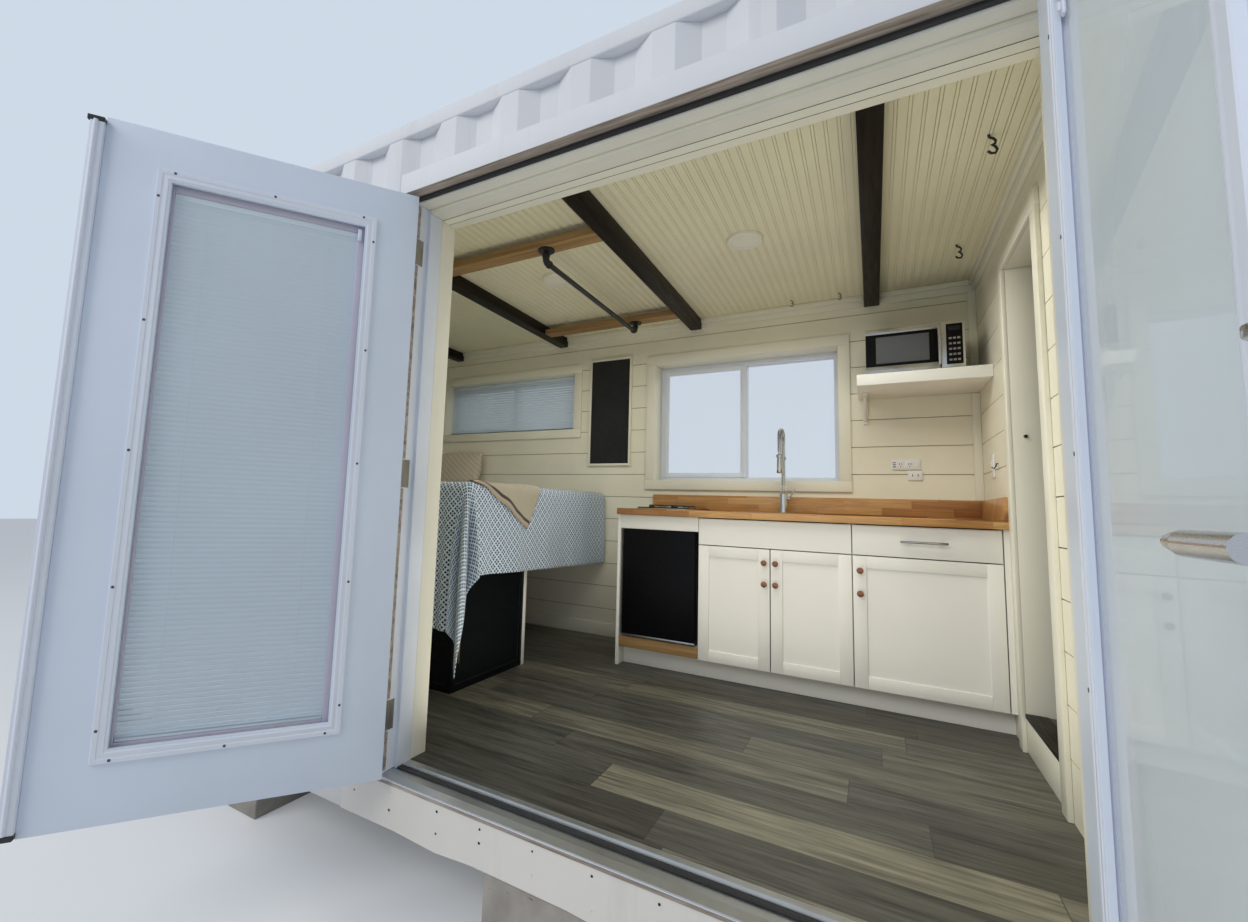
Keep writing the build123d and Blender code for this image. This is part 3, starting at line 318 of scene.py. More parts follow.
WHITE_STEEL = painted_steel("white_steel", rgb(0.76, 0.775, 0.81))
FRAME_STEEL = painted_steel("frame_steel", rgb(0.72, 0.72, 0.72), dirt=0.4, rust=0.3)
APRON_PAINT = painted_steel("apron_paint", rgb(0.78, 0.75, 0.70), dirt=0.3, rust=0.35)
JOIST_STEEL = painted_steel("joist_steel", rgb(0.05, 0.05, 0.052), dirt=0.5, rust=0.5, roughness=0.6)
SILL_METAL = brushed_metal("sill_metal", rgb(0.62, 0.63, 0.64), 0.42)
HINGE_GREY = brushed_metal("hinge_grey", rgb(0.42, 0.41, 0.40), 0.4, (120.0, 120.0, 1.0))
NICKEL = brushed_metal("nickel", rgb(0.62, 0.61, 0.62), 0.24)
DARK_NICKEL = brushed_metal("dark_nickel", rgb(0.075, 0.070, 0.060), 0.18, (120.0, 120.0, 1.0))
STAINLESS = brushed_metal("stainless", rgb(0.62, 0.62, 0.62), 0.3)
CHROME = brushed_metal("chrome", rgb(0.75, 0.76, 0.78), 0.12, (4.0, 4.0, 4.0))
BRASS = brushed_metal("brass", rgb(0.55, 0.40, 0.20), 0.3)
COPPER = brushed_metal("copper", rgb(0.48, 0.22, 0.13), 0.36, (60.0, 60.0, 60.0))

# %% [markdown]
# Moulded plastic, satin paint on wood and rubber are one colour with a small unevenness and a
# fine surface, so one recipe with a few values makes them all. The fine relief is what
# brushed paint and moulded skin have in common.

# %% Paints, plastics and rubber
def smooth_paint(name, colour, roughness=0.4, amount=0.05, relief=0.1, size=220.0, shine=0.5):
    """One colour, a little uneven, with a fine surface."""
    made, tree, shader, place = material(name, roughness, 0.0, shine)
    cloudy = use(tree, CLOUDY, Vector=place, Colour=colour, Scale=2.4, Amount=amount)
    feed(tree, cloudy["Colour"], shader, "Base Color")
    skin = noise(tree, place, size, 2.0)
    feed(tree, map_range(tree, skin, 0.3, 0.7, roughness - 0.05, roughness + 0.06), shader, "Roughness")
    bump(tree, shader, skin, relief, 0.0006)
    return made


def worn_paint(name, colour, under, wear=0.2, roughness=0.5):
    """Paint on wood that has chipped in places and shows what is under it."""
    made, tree, shader, place = material(name, roughness)
    cloudy = use(tree, CLOUDY, Vector=place, Colour=colour, Scale=3.1, Amount=0.08)
    chip = use(tree, SPOTS, Vector=place, Scale=16.0, Cover=wear, Edge=0.015)["Mask"]
    smear = use(tree, SPOTS, Vector=place, Scale=3.5, Cover=0.36, Edge=0.3)["Mask"]
    smeared = times(tree, smear, 0.3)
    dull = blend_colour(tree, smeared, cloudy["Colour"], rgb(0.45, 0.40, 0.31))
    feed(tree, blend_colour(tree, chip, dull, under), shader, "Base Color")
    bump(tree, shader, minus(tree, noise(tree, place, 70.0, 4.0), chip), 0.25, 0.0012)
    return made


# The white paint of the leaves, of the glass and window frames, and of the slats is tinted blue: painted
# light from a blue sky on white paint.
DOOR_WHITE_PAINTED_SKYLIGHT = smooth_paint("door_white_painted_skylight", rgb(0.75, 0.83, 0.95), 0.38, 0.04, 0.06)
LITE_WHITE_PAINTED_SKYLIGHT = smooth_paint("lite_white_painted_skylight", rgb(0.80, 0.85, 0.95), 0.33, 0.03, 0.05)
SPACER_PINK = smooth_paint("spacer", rgb(0.58, 0.54, 0.66), 0.5)
SLAT_WHITE_PAINTED_SKYLIGHT = smooth_paint("slat_white_painted_skylight", rgb(0.74, 0.84, 0.92), 0.4, 0.03)
SHIPLAP = smooth_paint("shiplap_paint", rgb(0.88, 0.85, 0.70), 0.48, 0.06, 0.25, 60.0)
# Painted shade: the floors of the shiplap grooves are painted dark, for the shade in the joints.
GROOVE_PAINTED_SHADE = smooth_paint("groove_painted_shade", rgb(0.36, 0.32, 0.22), 0.7)
BEAD_PAINT = smooth_paint("bead_paint", rgb(0.87, 0.83, 0.62), 0.45, 0.05, 0.12, 90.0)
TRIM_WHITE = smooth_paint("trim_white", rgb(0.87, 0.85, 0.72), 0.36, 0.04, 0.1)
CABINET_WHITE = smooth_paint("cabinet_white", rgb(0.85, 0.84, 0.79), 0.34, 0.03, 0.08)
LAMP_WHITE = smooth_paint("lamp_white", rgb(0.87, 0.85, 0.74), 0.4, 0.02, 0.03)
SOCKET_WHITE = smooth_paint("socket_white", rgb(0.86, 0.86, 0.85), 0.3, 0.01, 0.02)
CREAM_FRAME = worn_paint("cream_frame", rgb(0.82, 0.80, 0.71), rgb(0.35, 0.24, 0.14), 0.20)
SEAL_CREAM = smooth_paint("seal_cream", rgb(0.95, 0.90, 0.70), 0.5)
# The jambs are the same cream paint as the head. This copy is tinted blue: painted sky light on the jambs.
JAMB_PAINTED_SKYLIGHT = worn_paint("jamb_painted_skylight", rgb(0.76, 0.81, 0.90), rgb(0.35, 0.24, 0.14), 0.20)
RUBBER = smooth_paint("rubber", rgb(0.028, 0.028, 0.030), 0.6, 0.15, 0.2)
VINYL_GREY = smooth_paint("vinyl_grey", rgb(0.075, 0.078, 0.085), 0.5, 0.15, 0.15)
BLACK_IRON = smooth_paint("black_iron", rgb(0.022, 0.022, 0.024), 0.42, 0.2, 0.35, 130.0)
BLACK_GLOSS = smooth_paint("black_gloss", rgb(0.004, 0.004, 0.005), 0.30, 0.1, 0.01, 220.0, 0.12)
BLACK_PLASTIC = smooth_paint("black_plastic", rgb(0.020, 0.020, 0.021), 0.36, 0.1, 0.12)
BOARD_BLACK = smooth_paint("board_black", rgb(0.018, 0.019, 0.021), 0.7, 0.4, 0.1, 40.0)
CHEST_BLACK = smooth_paint("chest_black", rgb(0.003, 0.005, 0.006), 0.32, 0.1, 0.01, 90.0, 0.15)
# Near-black put in holes, slots and open joints: painted shade inside them. The same black marks some apron
# screws and the oven's display.
SHADE_AND_DISPLAY_BLACK = smooth_paint("shade_and_display_black", rgb(0.010, 0.010, 0.012), 0.8)

# %% [markdown]
# Glass is a thin clear sheet, so it needs no refraction. Its alpha comes from Fresnel: one
# looks straight through it from in front, and it mirrors at a flat angle. Light that only
# passes through on its way to a wall or a blind is let through nearly whole.

# %% Glass
def clear_glass():
    """A thin pane: nearly clear from in front, a mirror along its face."""
    made, tree, shader, place = material("clear_glass", 0.02)
    cloudy = use(tree, CLOUDY, Vector=place, Colour=rgb(0.80, 0.87, 0.88), Scale=1.5, Amount=0.04)
    feed(tree, cloudy["Colour"], shader, "Base Color")
    mirror = add(tree, "Fresnel", {"IOR": 1.5})
    shown = map_range(tree, mirror.outputs[0], 0.03, 0.6, 0.05, 0.75)
    paths = tree.nodes.new("ShaderNodeLightPath").outputs
    soft = math_node(tree, "MAXIMUM", paths["Is Shadow Ray"], paths["Is Diffuse Ray"])
    kept = math_node(tree, "MULTIPLY_ADD", soft, -0.92, 1.0)
    feed(tree, times(tree, shown, kept), shader, "Alpha")
    return made


CLEAR_GLASS = clear_glass()

# %% [markdown]
# Wood. The floor is grey-brown planks with a pale and a dark one here and there, the worktop
# is glued from short honey and brown staves, the beams are stained nearly black, and the two
# ties are bare pine. All share the grain group. Only the staves and planks need the boards
# group, which gives each its own shade.

# %% Woods
def wood(name, dark, light, roughness=0.5, scale=5.0, turned=(0.0, 0.0, 0.0), relief=0.2, shine=0.5):
    """One piece of wood with its figure along X, or along another axis after a turn."""
    made, tree, shader, place = material(name, roughness, 0.0, shine)
    turning = add(tree, "Mapping", {"Vector": place, "Rotation": turned})
    grain = use(tree, GRAIN, Vector=turning.outputs[0], Stretch=14.0, Scale=scale)
    level = map_range(tree, grain["Value"], 0.36, 0.64)
    feed(tree, blend_colour(tree, level, dark, light), shader, "Base Color")
    rough = map_range(tree, grain["Fine"], 0.3, 0.7, roughness + 0.1, roughness - 0.08)
    feed(tree, rough, shader, "Roughness")
    bump(tree, shader, grain["Fine"], relief, 0.0012)
    return made


def board_colours(tree, own, shade, stops):
    """Each board's colour, from a ramp of stops by its own number, times the shade of its grain."""
    ramp = add(tree, "ValToRGB", {0: own})
    elements = ramp.color_ramp.elements
    elements[0].position, elements[0].color = stops[0]
    elements[1].position, elements[1].color = stops[-1]
    for position, colour in stops[1:-1]:
        elements.new(position).color = colour
    return blend_colour(tree, 1.0, ramp.outputs[0], grey(tree, shade), "MULTIPLY")


def plank_floor():
    """Grey-brown planks along X, some pale, some dark, with fine brushed grain."""
    made, tree, shader, place = material("plank_floor", 0.42)
    laid = use(tree, BOARDS, Vector=place, Length=1.22, Width=0.181, Joint=0.0012)
    grain = use(tree, GRAIN, Vector=laid["Vector"], Stretch=16.0, Scale=4.5)
    shade = map_range(tree, grain["Value"], 0.36, 0.64, 0.40, 1.55)
    figured = board_colours(tree, laid["Own"], shade, (
        (0.0, rgb(0.050, 0.047, 0.038)), (0.28, rgb(0.078, 0.075, 0.060)),
        (0.5, rgb(0.062, 0.064, 0.055)), (0.72, rgb(0.110, 0.106, 0.082)),
        (0.9, rgb(0.190, 0.180, 0.130)), (1.0, rgb(0.090, 0.087, 0.070))))
    feed(tree, blend_colour(tree, laid["Gap"], figured, rgb(0.03, 0.026, 0.022)), shader, "Base Color")
    feed(tree, map_range(tree, grain["Fine"], 0.3, 0.7, 0.5, 0.34), shader, "Roughness")
    height = minus(tree, times(tree, grain["Fine"], 0.5), laid["Gap"])
    bump(tree, shader, height, 0.35, 0.0016)
    return made


def butcher_block():
    """Short staves glued side by side; on an upright face they are stacked."""
    made, tree, shader, place = material("butcher_block", 0.34)
    parts = split(tree, place)
    folded = joined(tree, parts[0], plus(tree, parts[1], parts[2]), 0.0)
    laid = use(tree, BOARDS, Vector=folded, Length=0.34, Width=0.042, Joint=0.0004)
    grain = use(tree, GRAIN, Vector=laid["Vector"], Stretch=12.0, Scale=9.0)
    shade = map_range(tree, grain["Value"], 0.34, 0.66, 0.72, 1.2)
    figured = board_colours(tree, laid["Own"], shade, (
        (0.0, rgb(0.56, 0.30, 0.105)), (0.35, rgb(0.46, 0.225, 0.075)), (0.6, rgb(0.62, 0.36, 0.14)),
        (0.82, rgb(0.34, 0.145, 0.05)), (1.0, rgb(0.24, 0.095, 0.035))))
    glued = blend_colour(tree, times(tree, laid["Gap"], 0.6), figured, rgb(0.12, 0.05, 0.02))
    feed(tree, glued, shader, "Base Color")
    bump(tree, shader, minus(tree, grain["Fine"], laid["Gap"]), 0.12, 0.0006)
    shader.inputs["Coat Weight"].default_value = 0.25
    shader.inputs["Coat Roughness"].default_value = 0.2
    return made


QUARTER = math.radians(90.0)
PLANK_FLOOR, BUTCHER = plank_floor(), butcher_block()
ESPRESSO = wood("espresso", rgb(0.004, 0.003, 0.002), rgb(0.018, 0.011, 0.007), 0.48,
                turned=(0, 0, QUARTER), shine=0.2)
RAW_WOOD = wood("raw_wood", rgb(0.22, 0.12, 0.045), rgb(0.42, 0.26, 0.11), 0.55, 4.0)
WEATHERED = wood("weathered", rgb(0.17, 0.135, 0.11), rgb(0.52, 0.45, 0.39), 0.75, 6.0, relief=0.6)
PLYWOOD = wood("plywood", rgb(0.30, 0.16, 0.07), rgb(0.50, 0.30, 0.14), 0.6, 3.0)
print("materials", len(bpy.data.materials))

# %% [markdown]
# The blocks under the cabin are cast concrete: grey and pitted, with reddish stains. Two sets of
# spots do it. The small ones are dark and sink into the surface. The wide ones only colour it.

# %% Concrete
def rough_concrete():
    """Cast concrete with pits and stains."""
    made, tree, shader, place = material("concrete", 0.85)
    cloudy = use(tree, CLOUDY, Vector=place, Colour=rgb(0.42, 0.39, 0.35), Scale=6.0, Amount=0.3)
    pits = use(tree, SPOTS, Vector=place, Scale=55.0, Cover=0.33, Edge=0.05)["Mask"]
    stain = use(tree, SPOTS, Vector=place, Scale=4.0, Cover=0.4, Edge=0.2)["Mask"]
    red = blend_colour(tree, times(tree, stain, 0.45), cloudy["Colour"], rgb(0.30, 0.18, 0.13))
    pitted = blend_colour(tree, times(tree, pits, 0.7), red, rgb(0.09, 0.08, 0.07))
    feed(tree, pitted, shader, "Base Color")
    bump(tree, shader, minus(tree, noise(tree, place, 120.0, 6.0), pits), 0.6, 0.003)
    return made


CONCRETE = rough_concrete()

# %% [markdown]
# Cloth. A weave is two crossed rows of fine ribs. The cover has a small figure of four lozenges
# printed in navy, in a lattice that is turned by an eighth of a full turn. The throw is plain with
# a tan band and a dark line at its end, and the pillow has thin slanting lines. The pieces
# carry their own UV map in metres, so that a print follows the cloth round a fold.

# %% Cloths
def make_weave():
    """Height of a plain weave on a flat map in metres."""
    group, got, out = new_group("weave", {"Vector": None, "Threads": 700.0}, {"Height": "Float"})
    parts = split(group, got["Vector"])
    waves = []
    for axis in (0, 1):
        turns = times(group, parts[axis], got["Threads"])
        waves.append(math_node(group, "SINE", times(group, turns, 2 * math.pi)))
    both = times(group, waves[0], waves[1])
    return hand_out(group, out, Height=math_node(group, "MULTIPLY_ADD", both, 0.5, 0.5))


WEAVE = make_weave()


def cloth(name, colour, threads=450.0, amount=0.05, relief=0.4, paint=None):
    """Woven cloth. paint is a function that returns the printed colour from the tree and the map."""
    made, tree, shader, place = material(name, 0.85)
    flat = tree.nodes.new("ShaderNodeUVMap").outputs["UV"]
    cloudy = use(tree, CLOUDY, Vector=place, Colour=colour, Scale=5.0, Amount=amount)
    printed = paint(tree, flat, cloudy["Colour"]) if paint else cloudy["Colour"]
    feed(tree, printed, shader, "Base Color")
    weave = use(tree, WEAVE, Vector=flat, Threads=threads)["Height"]
    bump(tree, shader, weave, relief, 0.0008)
    shader.inputs["Sheen Weight"].default_value = 0.25
    shader.inputs["Sheen Roughness"].default_value = 0.5
    return made


def off_centre(tree, value):
    """How far a value that repeats is from the middle of its step."""
    return math_node(tree, "ABSOLUTE", minus(tree, math_node(tree, "FRACT", value), 0.5))


def four_lozenges(tree, flat, ground):
    """Navy figures of four lozenges each, in a lattice turned by an eighth of a full turn."""
    slant = 0.048
    parts = split(tree, flat)
    rising = math_node(tree, "DIVIDE", plus(tree, parts[0], parts[1]), slant)
    falling = math_node(tree, "DIVIDE", minus(tree, parts[0], parts[1]), slant)
    x, y = off_centre(tree, rising), off_centre(tree, falling)
    outside = map_range(tree, math_node(tree, "MAXIMUM", x, y), 0.390, 0.360)
    between = map_range(tree, math_node(tree, "MINIMUM", x, y), 0.055, 0.080)
    ink = times(tree, outside, between)
    return blend_colour(tree, ink, ground, rgb(0.012, 0.026, 0.080))


def stripes_along(stripes, blur=0.0015):
    """A print of stripes that run along V: each has its place on U, its half width and its colour."""
    def paint(tree, flat, ground):
        parts = split(tree, flat)
        made = ground
        for centre, half, colour in stripes:
            off = math_node(tree, "ABSOLUTE", minus(tree, parts[0], centre))
            made = blend_colour(tree, map_range(tree, off, half + blur, half), made, colour)
        return made
    return paint


def slanting(step, half, colour):
    """A print of thin slanting lines."""
    def paint(tree, flat, ground):
        parts = split(tree, flat)
        sloped = math_node(tree, "MULTIPLY_ADD", parts[1], 1.4, parts[0])
        off = off_centre(tree, math_node(tree, "DIVIDE", sloped, step))
        return blend_colour(tree, map_range(tree, off, half + 0.05, half), ground, colour)
    return paint


COVER_CLOTH = cloth("cover_cloth", rgb(0.62, 0.73, 0.84), 500.0, 0.03, 0.12, four_lozenges)
THROW_CLOTH = cloth("throw_cloth", rgb(0.46, 0.41, 0.31), 240.0, 0.1, 0.7, stripes_along(
    ((0.008, 0.014, rgb(0.46, 0.37, 0.28)), (0.034, 0.008, rgb(0.050, 0.036, 0.036)))))
PILLOW_CLOTH = cloth("pillow_cloth", rgb(0.60, 0.52, 0.40), 260.0, 0.08, 0.6,
                     slanting(0.060, 0.06, rgb(0.74, 0.67, 0.55)))
print("cloths", COVER_CLOTH.name, THROW_CLOTH.name, PILLOW_CLOTH.name)

# %% [markdown]
# Every new piece goes through the same three steps: a bmesh is filled with shapes, it becomes
# a mesh with its materials and soft shading, and it rides on a body of the model. Boxes get
# eased edges, because no real edge is a knife, and an eased edge catches the light.

# %% Shape helpers
def faces_of(corners):
    """The faces round these corners."""
    return list(dict.fromkeys(f for v in corners for f in v.link_faces))


def edges_of(corners):
    """The edges that meet at these corners."""
    return list(dict.fromkeys(e for v in corners for e in v.link_edges))


def paint_faces(faces, paint):
    """Give faces the material with this number."""
    for face in faces:
        face.material_index = paint


def add_box(bm, low, high, paint=0, ease=0.0, segments=2):
    """A box between two corners with eased edges."""
    low, high = Vector(low), Vector(high)
    place = Matrix.Translation((low + high) / 2) @ Matrix.Diagonal((*(high - low), 1.0))
    corners = bmesh.ops.create_cube(bm, size=1.0, matrix=place)["verts"]
    paint_faces(faces_of(corners), paint)
    if ease:
        bmesh.ops.bevel(bm, geom=edges_of(corners), offset=ease, affect="EDGES", segments=segments,
                        profile=0.5, material=-1, clamp_overlap=True)


def along(start, end):
    """A matrix whose Z runs from the start point towards the end point, in the middle."""
    start, end = Vector(start), Vector(end)
    turn = (end - start).to_track_quat("Z", "Y").to_matrix().to_4x4()
    return Matrix.Translation((start + end) / 2) @ turn


def add_rod(bm, start, end, radius, paint=0, sides=24, end_radius=None, ease=0.0):
    """A round bar or a cone between two points."""
    far = radius if end_radius is None else end_radius
    long = (Vector(end) - Vector(start)).length
    corners = bmesh.ops.create_cone(bm, cap_ends=True, segments=sides, radius1=radius, radius2=far,
                                    depth=long, matrix=along(start, end))["verts"]
    paint_faces(faces_of(corners), paint)
    if ease:
        rims = [e for e in edges_of(corners) if any(len(f.verts) > 4 for f in e.link_faces)]
        bmesh.ops.bevel(bm, geom=rims, offset=ease, affect="EDGES", segments=2, profile=0.5, material=-1)


def add_lathe(bm, outline, place, paint=0, steps=32):
    """A turned piece: an outline of radius and height, spun about Z and put in place."""
    points = [bm.verts.new((radius, 0.0, height)) for radius, height in outline]
    edges = [bm.edges.new(pair) for pair in zip(points, points[1:])]
    before = set(bm.verts)
    bmesh.ops.spin(bm, geom=points + edges, cent=(0, 0, 0), axis=(0, 0, 1), angle=2 * math.pi,
                   steps=steps, use_merge=True, use_duplicate=False)
    turned = [v for v in bm.verts if v in set(points) or v not in before]
    bmesh.ops.remove_doubles(bm, verts=turned, dist=0.00005)
    turned = [v for v in turned if v.is_valid]
    faces = faces_of(turned)
    bmesh.ops.recalc_face_normals(bm, faces=faces)
    paint_faces(faces, paint)
    bmesh.ops.transform(bm, matrix=place, verts=turned)


def add_tube(bm, points, radius, paint=0, sides=12):
    """A bent bar: a ring is swept along the points."""
    points = [Vector(p) for p in points]
    rings = []
    for index, point in enumerate(points):
        ahead = points[min(index + 1, len(points) - 1)] - points[max(index - 1, 0)]
        turn = ahead.to_track_quat("Z", "Y").to_matrix().to_4x4()
        ring = bmesh.ops.create_circle(bm, cap_ends=False, segments=sides, radius=radius,
                                       matrix=Matrix.Translation(point) @ turn)["verts"]
        rings.append(ring)
    faces = []
    for near, far in zip(rings, rings[1:]):
        edges = [e for ring in (near, far) for e in edges_of(ring) if all(v in ring for v in e.verts)]
        faces += bmesh.ops.bridge_loops(bm, edges=edges)["faces"]
    for ring in (rings[0], rings[-1]):
        faces.append(bm.faces.new(ring))
    bmesh.ops.recalc_face_normals(bm, faces=faces)
    paint_faces(faces, paint)


def add_bars(bm, x_span, z_span, y_span, bar, paint=0, ease=0.002):
    """Two stiles and two rails round an upright opening."""
    (x0, x1), (z0, z1), (y0, y1) = x_span, z_span, y_span
    for a, b in ((x0, x0 + bar), (x1 - bar, x1)):
        add_box(bm, (a, y0, z0), (b, y1, z1), paint, ease)
    for a, b in ((z0, z0 + bar), (z1 - bar, z1)):
        add_box(bm, (x0 + bar + 0.0001, y0, a), (x1 - bar - 0.0001, y1, b), paint, ease)


def finish_piece(name, bm, paints, body="shell", stands_for=(), sharp=32.0):
    """Turn a bmesh into a shaded piece that rides on a body."""
    mesh = bpy.data.meshes.new(name)
    bm.to_mesh(mesh)
    bm.free()
    for paint in paints:
        mesh.materials.append(paint)
    mesh.shade_smooth()
    mesh.set_sharp_from_angle(angle=math.radians(sharp))
    piece = bpy.data.objects.new(name, mesh)
    bpy.context.scene.collection.objects.link(piece)
    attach(piece, body)
    if stands_for:
        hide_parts(*stands_for)
    print(name, len(mesh.polygons), "faces")
    return piece


def merged_copy(node):
    """A bmesh of a model piece with its loose triangles joined into flat faces."""
    bm = bmesh.new()
    bm.from_mesh(nodes[node].data)
    bmesh.ops.remove_doubles(bm, verts=bm.verts, dist=0.00002)
    bmesh.ops.dissolve_limit(bm, angle_limit=math.radians(1.0), verts=bm.verts, edges=bm.edges)
    return bm


def ease_edges(bm, width, segments=2, sharper=30.0):
    """Round the sharp edges of every solid in a bmesh."""
    edges = [e for e in bm.edges
             if len(e.link_faces) == 2 and e.calc_face_angle() > math.radians(sharper)]
    bmesh.ops.bevel(bm, geom=edges, offset=width, affect="EDGES", segments=segments, profile=0.5,
                    material=-1, clamp_overlap=True)


def eased_piece(node, name, paint, width, body="shell", segments=2):
    """A piece that stands for a node: the same solid with its edges eased."""
    bm = merged_copy(node)
    ease_edges(bm, width, segments)
    return finish_piece(name, bm, [paint], body, (node,))


def paint_node(node, paint):
    """Give a model piece its finish."""
    mesh = nodes[node].data
    mesh.materials.clear()
    mesh.materials.append(paint)


# %% [markdown]
# The walls are clad in shiplap. Each lining is copied, cut along the joints of its boards, and
# the narrow strips between two cuts are sunk, so that every joint is a real groove. The ceiling
# is beaded board: pairs of finer grooves that run along Y.

# %% Levels that many pieces share
FLOOR, IN_X, WALL_Y, TRIM_TOP = 0.370, 2.839, 1.0285, 2.6275
HINGE_LEFT, HINGE_RIGHT, HINGE_Y = -0.440, 1.408, -1.227
OPEN_X0, OPEN_X1 = -0.4265, 1.3945
BEAM_XS, BEAM_HALF = (-2.176, -1.102, -0.028, 1.046), 0.0408
PARTITION_X = 1.550
PARTITION_FACE = PARTITION_X - 0.0006


def sink_lines(bm, axis, levels, half, deep, looks, paint=0):
    """Grooves across the faces that look one way, at these levels on one axis."""
    across = Vector((0.0, 0.0, 0.0))
    across[axis] = 1.0
    for level in levels:
        for offset in (-half, half):
            bmesh.ops.bisect_plane(bm, geom=bm.verts[:] + bm.edges[:] + bm.faces[:], dist=0.00001,
                                   plane_co=across * (level + offset), plane_no=across)
    strips = []
    for face in bm.faces:
        at = face.calc_center_median()[axis]
        if any(face.normal.dot(Vector(way)) > 0.99 for way in looks):
            if any(abs(at - level) < half * 0.9 for level in levels):
                strips.append(face)
    bmesh.ops.inset_individual(bm, faces=strips, thickness=0.0002, depth=-deep)
    paint_faces(strips, paint)


# %% Shiplap walls
FIRST_JOINT, BOARD_PITCH = FLOOR + 0.190, 0.163
BOARD_LEVELS = [FIRST_JOINT + BOARD_PITCH * k for k in range(13)]
# On the walls the sunk strips take the second, dark paint: painted shade in each groove.
for node_name, looks in (("back_lining", [(0, -1, 0)]), ("front_lining", [(0, 1, 0)]),
                         ("end_linings", [(1, 0, 0), (-1, 0, 0)]), ("partition", [(1, 0, 0), (-1, 0, 0)])):
    bm = merged_copy(node_name)
    sink_lines(bm, 2, BOARD_LEVELS, half=0.0022, deep=0.006, looks=looks, paint=1)
    finish_piece(node_name + "_boards", bm, [SHIPLAP, GROOVE_PAINTED_SHADE], "shell", (node_name,), 20.0)

# %% Beaded ceiling
bm = merged_copy("ceiling")
BEAD_STEP, BEAD_HALF = 0.0415, 0.0052
bead_levels = []
for k in range(-68, 69):
    bead_levels += [k * BEAD_STEP - BEAD_HALF, k * BEAD_STEP + BEAD_HALF]
sink_lines(bm, 0, bead_levels, half=0.0013, deep=0.0035, looks=[(0, 0, -1)])
finish_piece("beaded_ceiling", bm, [BEAD_PAINT], "shell", ("ceiling",), 20.0)

# %% [markdown]
# A stepped moulding covers the joint of walls and ceiling. It stops at each beam. A plain strip
# runs down the corner behind the shelf.

# %% Crown moulding
bm = bmesh.new()
stops = [-IN_X + 0.001]
for x in BEAM_XS:
    stops += [x - BEAM_HALF, x + BEAM_HALF]
stops.append(PARTITION_X - 0.001)
BOARD_LOW, STEP_LOW = 2.560, 2.598
for start, end in zip(stops[::2], stops[1::2]):
    for side in (-1, 1):
        for near, far, low, ease in ((1.0115, WALL_Y, BOARD_LOW, 0.002), (0.9965, 1.0115, STEP_LOW, 0.004)):
            y0, y1 = sorted((side * near, side * far))
            add_box(bm, (start, y0, low), (end, y1, TRIM_TOP), 0, ease)
add_box(bm, (PARTITION_X - 0.018, -0.996, BOARD_LOW), (PARTITION_FACE, 0.996, TRIM_TOP), 0, 0.002)
add_box(bm, (PARTITION_X - 0.033, -0.996, STEP_LOW), (PARTITION_X - 0.018, 0.996, TRIM_TOP), 0, 0.004)
for low, high in ((1.3970, 1.9864), (2.0486, 2.5598)):
    add_box(bm, (1.5120, 1.0130, low), (PARTITION_FACE, WALL_Y, high), 0, 0.002)
finish_piece("crown_moulding", bm, [TRIM_WHITE], "shell")

# %% [markdown]
# Boards, beams and rails get eased edges. The castings at the corners of the container get
# their lifting holes.

# %% Eased copies of plain pieces
eased_piece("interior_trim", "trim_boards", TRIM_WHITE, 0.0014)
bm = merged_copy("door_frame")
# Faces below the head take the blue copy of the cream paint: painted sky light on the jambs.
paint_faces([f for f in bm.faces if f.calc_center_median().z < 2.3], 1)
ease_edges(bm, 0.0016)
finish_piece("entrance_frame", bm, [CREAM_FRAME, JAMB_PAINTED_SKYLIGHT], "shell", ("door_frame",))
eased_piece("ceiling_beams", "dark_beams", ESPRESSO, 0.004)
eased_piece("beam_ties", "raw_ties", RAW_WOOD, 0.003)
eased_piece("head_block", "weathered_block", WEATHERED, 0.003)
eased_piece("head_flashing", "flashing", WHITE_STEEL, 0.0006)
eased_piece("top_rails", "box_rails", WHITE_STEEL, 0.006)
eased_piece("bottom_rails", "long_rails", FRAME_STEEL, 0.006)
eased_piece("foundation_blocks", "cast_blocks", CONCRETE, 0.007)
eased_piece("window_frames", "window_bars", LITE_WHITE_PAINTED_SKYLIGHT, 0.002)

LOW_CASTING_TOP, HIGH_CASTING_FOOT = 0.31, 2.66
bm = merged_copy("corner_posts")
holes = [f for f in bm.faces if 0.01 < f.calc_area() < 0.045 and max(abs(v) for v in f.normal) > 0.99
         and not LOW_CASTING_TOP <= f.calc_center_median().z <= HIGH_CASTING_FOOT]
bmesh.ops.inset_individual(bm, faces=holes, thickness=0.034, depth=0.0)
bmesh.ops.inset_individual(bm, faces=holes, thickness=0.003, depth=-0.014)
# The floors of the lifting holes are painted near-black: painted shade inside the castings.
paint_faces(holes, 1)
ease_edges(bm, 0.003)
finish_piece("castings_and_posts", bm, [FRAME_STEEL, SHADE_AND_DISPLAY_BLACK], "shell", ("corner_posts",))

# %% [markdown]
# Round the doorway: a black gasket under the flashing, a bead and open joints on the head, a dark
# strip and a bright ridge on the sill, a bare wooden edge, and the screws and marks of the apron.

# %% Small parts of the doorway
bm = bmesh.new()
add_box(bm, (-0.470, -1.2340, 2.4135), (1.438, -1.2196, 2.4246), 0, 0.0015)
add_box(bm, (OPEN_X0, -1.1660, 0.3641), (OPEN_X1, -1.1440, 0.3690), 0, 0.0010)
finish_piece("door_gaskets", bm, [RUBBER], "shell")

bm = bmesh.new()
add_rod(bm, (-0.436, -1.2140, 2.4108), (1.404, -1.2140, 2.4108), 0.0040, 0, 12)
add_rod(bm, (OPEN_X0, -1.1615, 2.3975), (OPEN_X1, -1.1615, 2.3975), 0.0035, 0, 12)
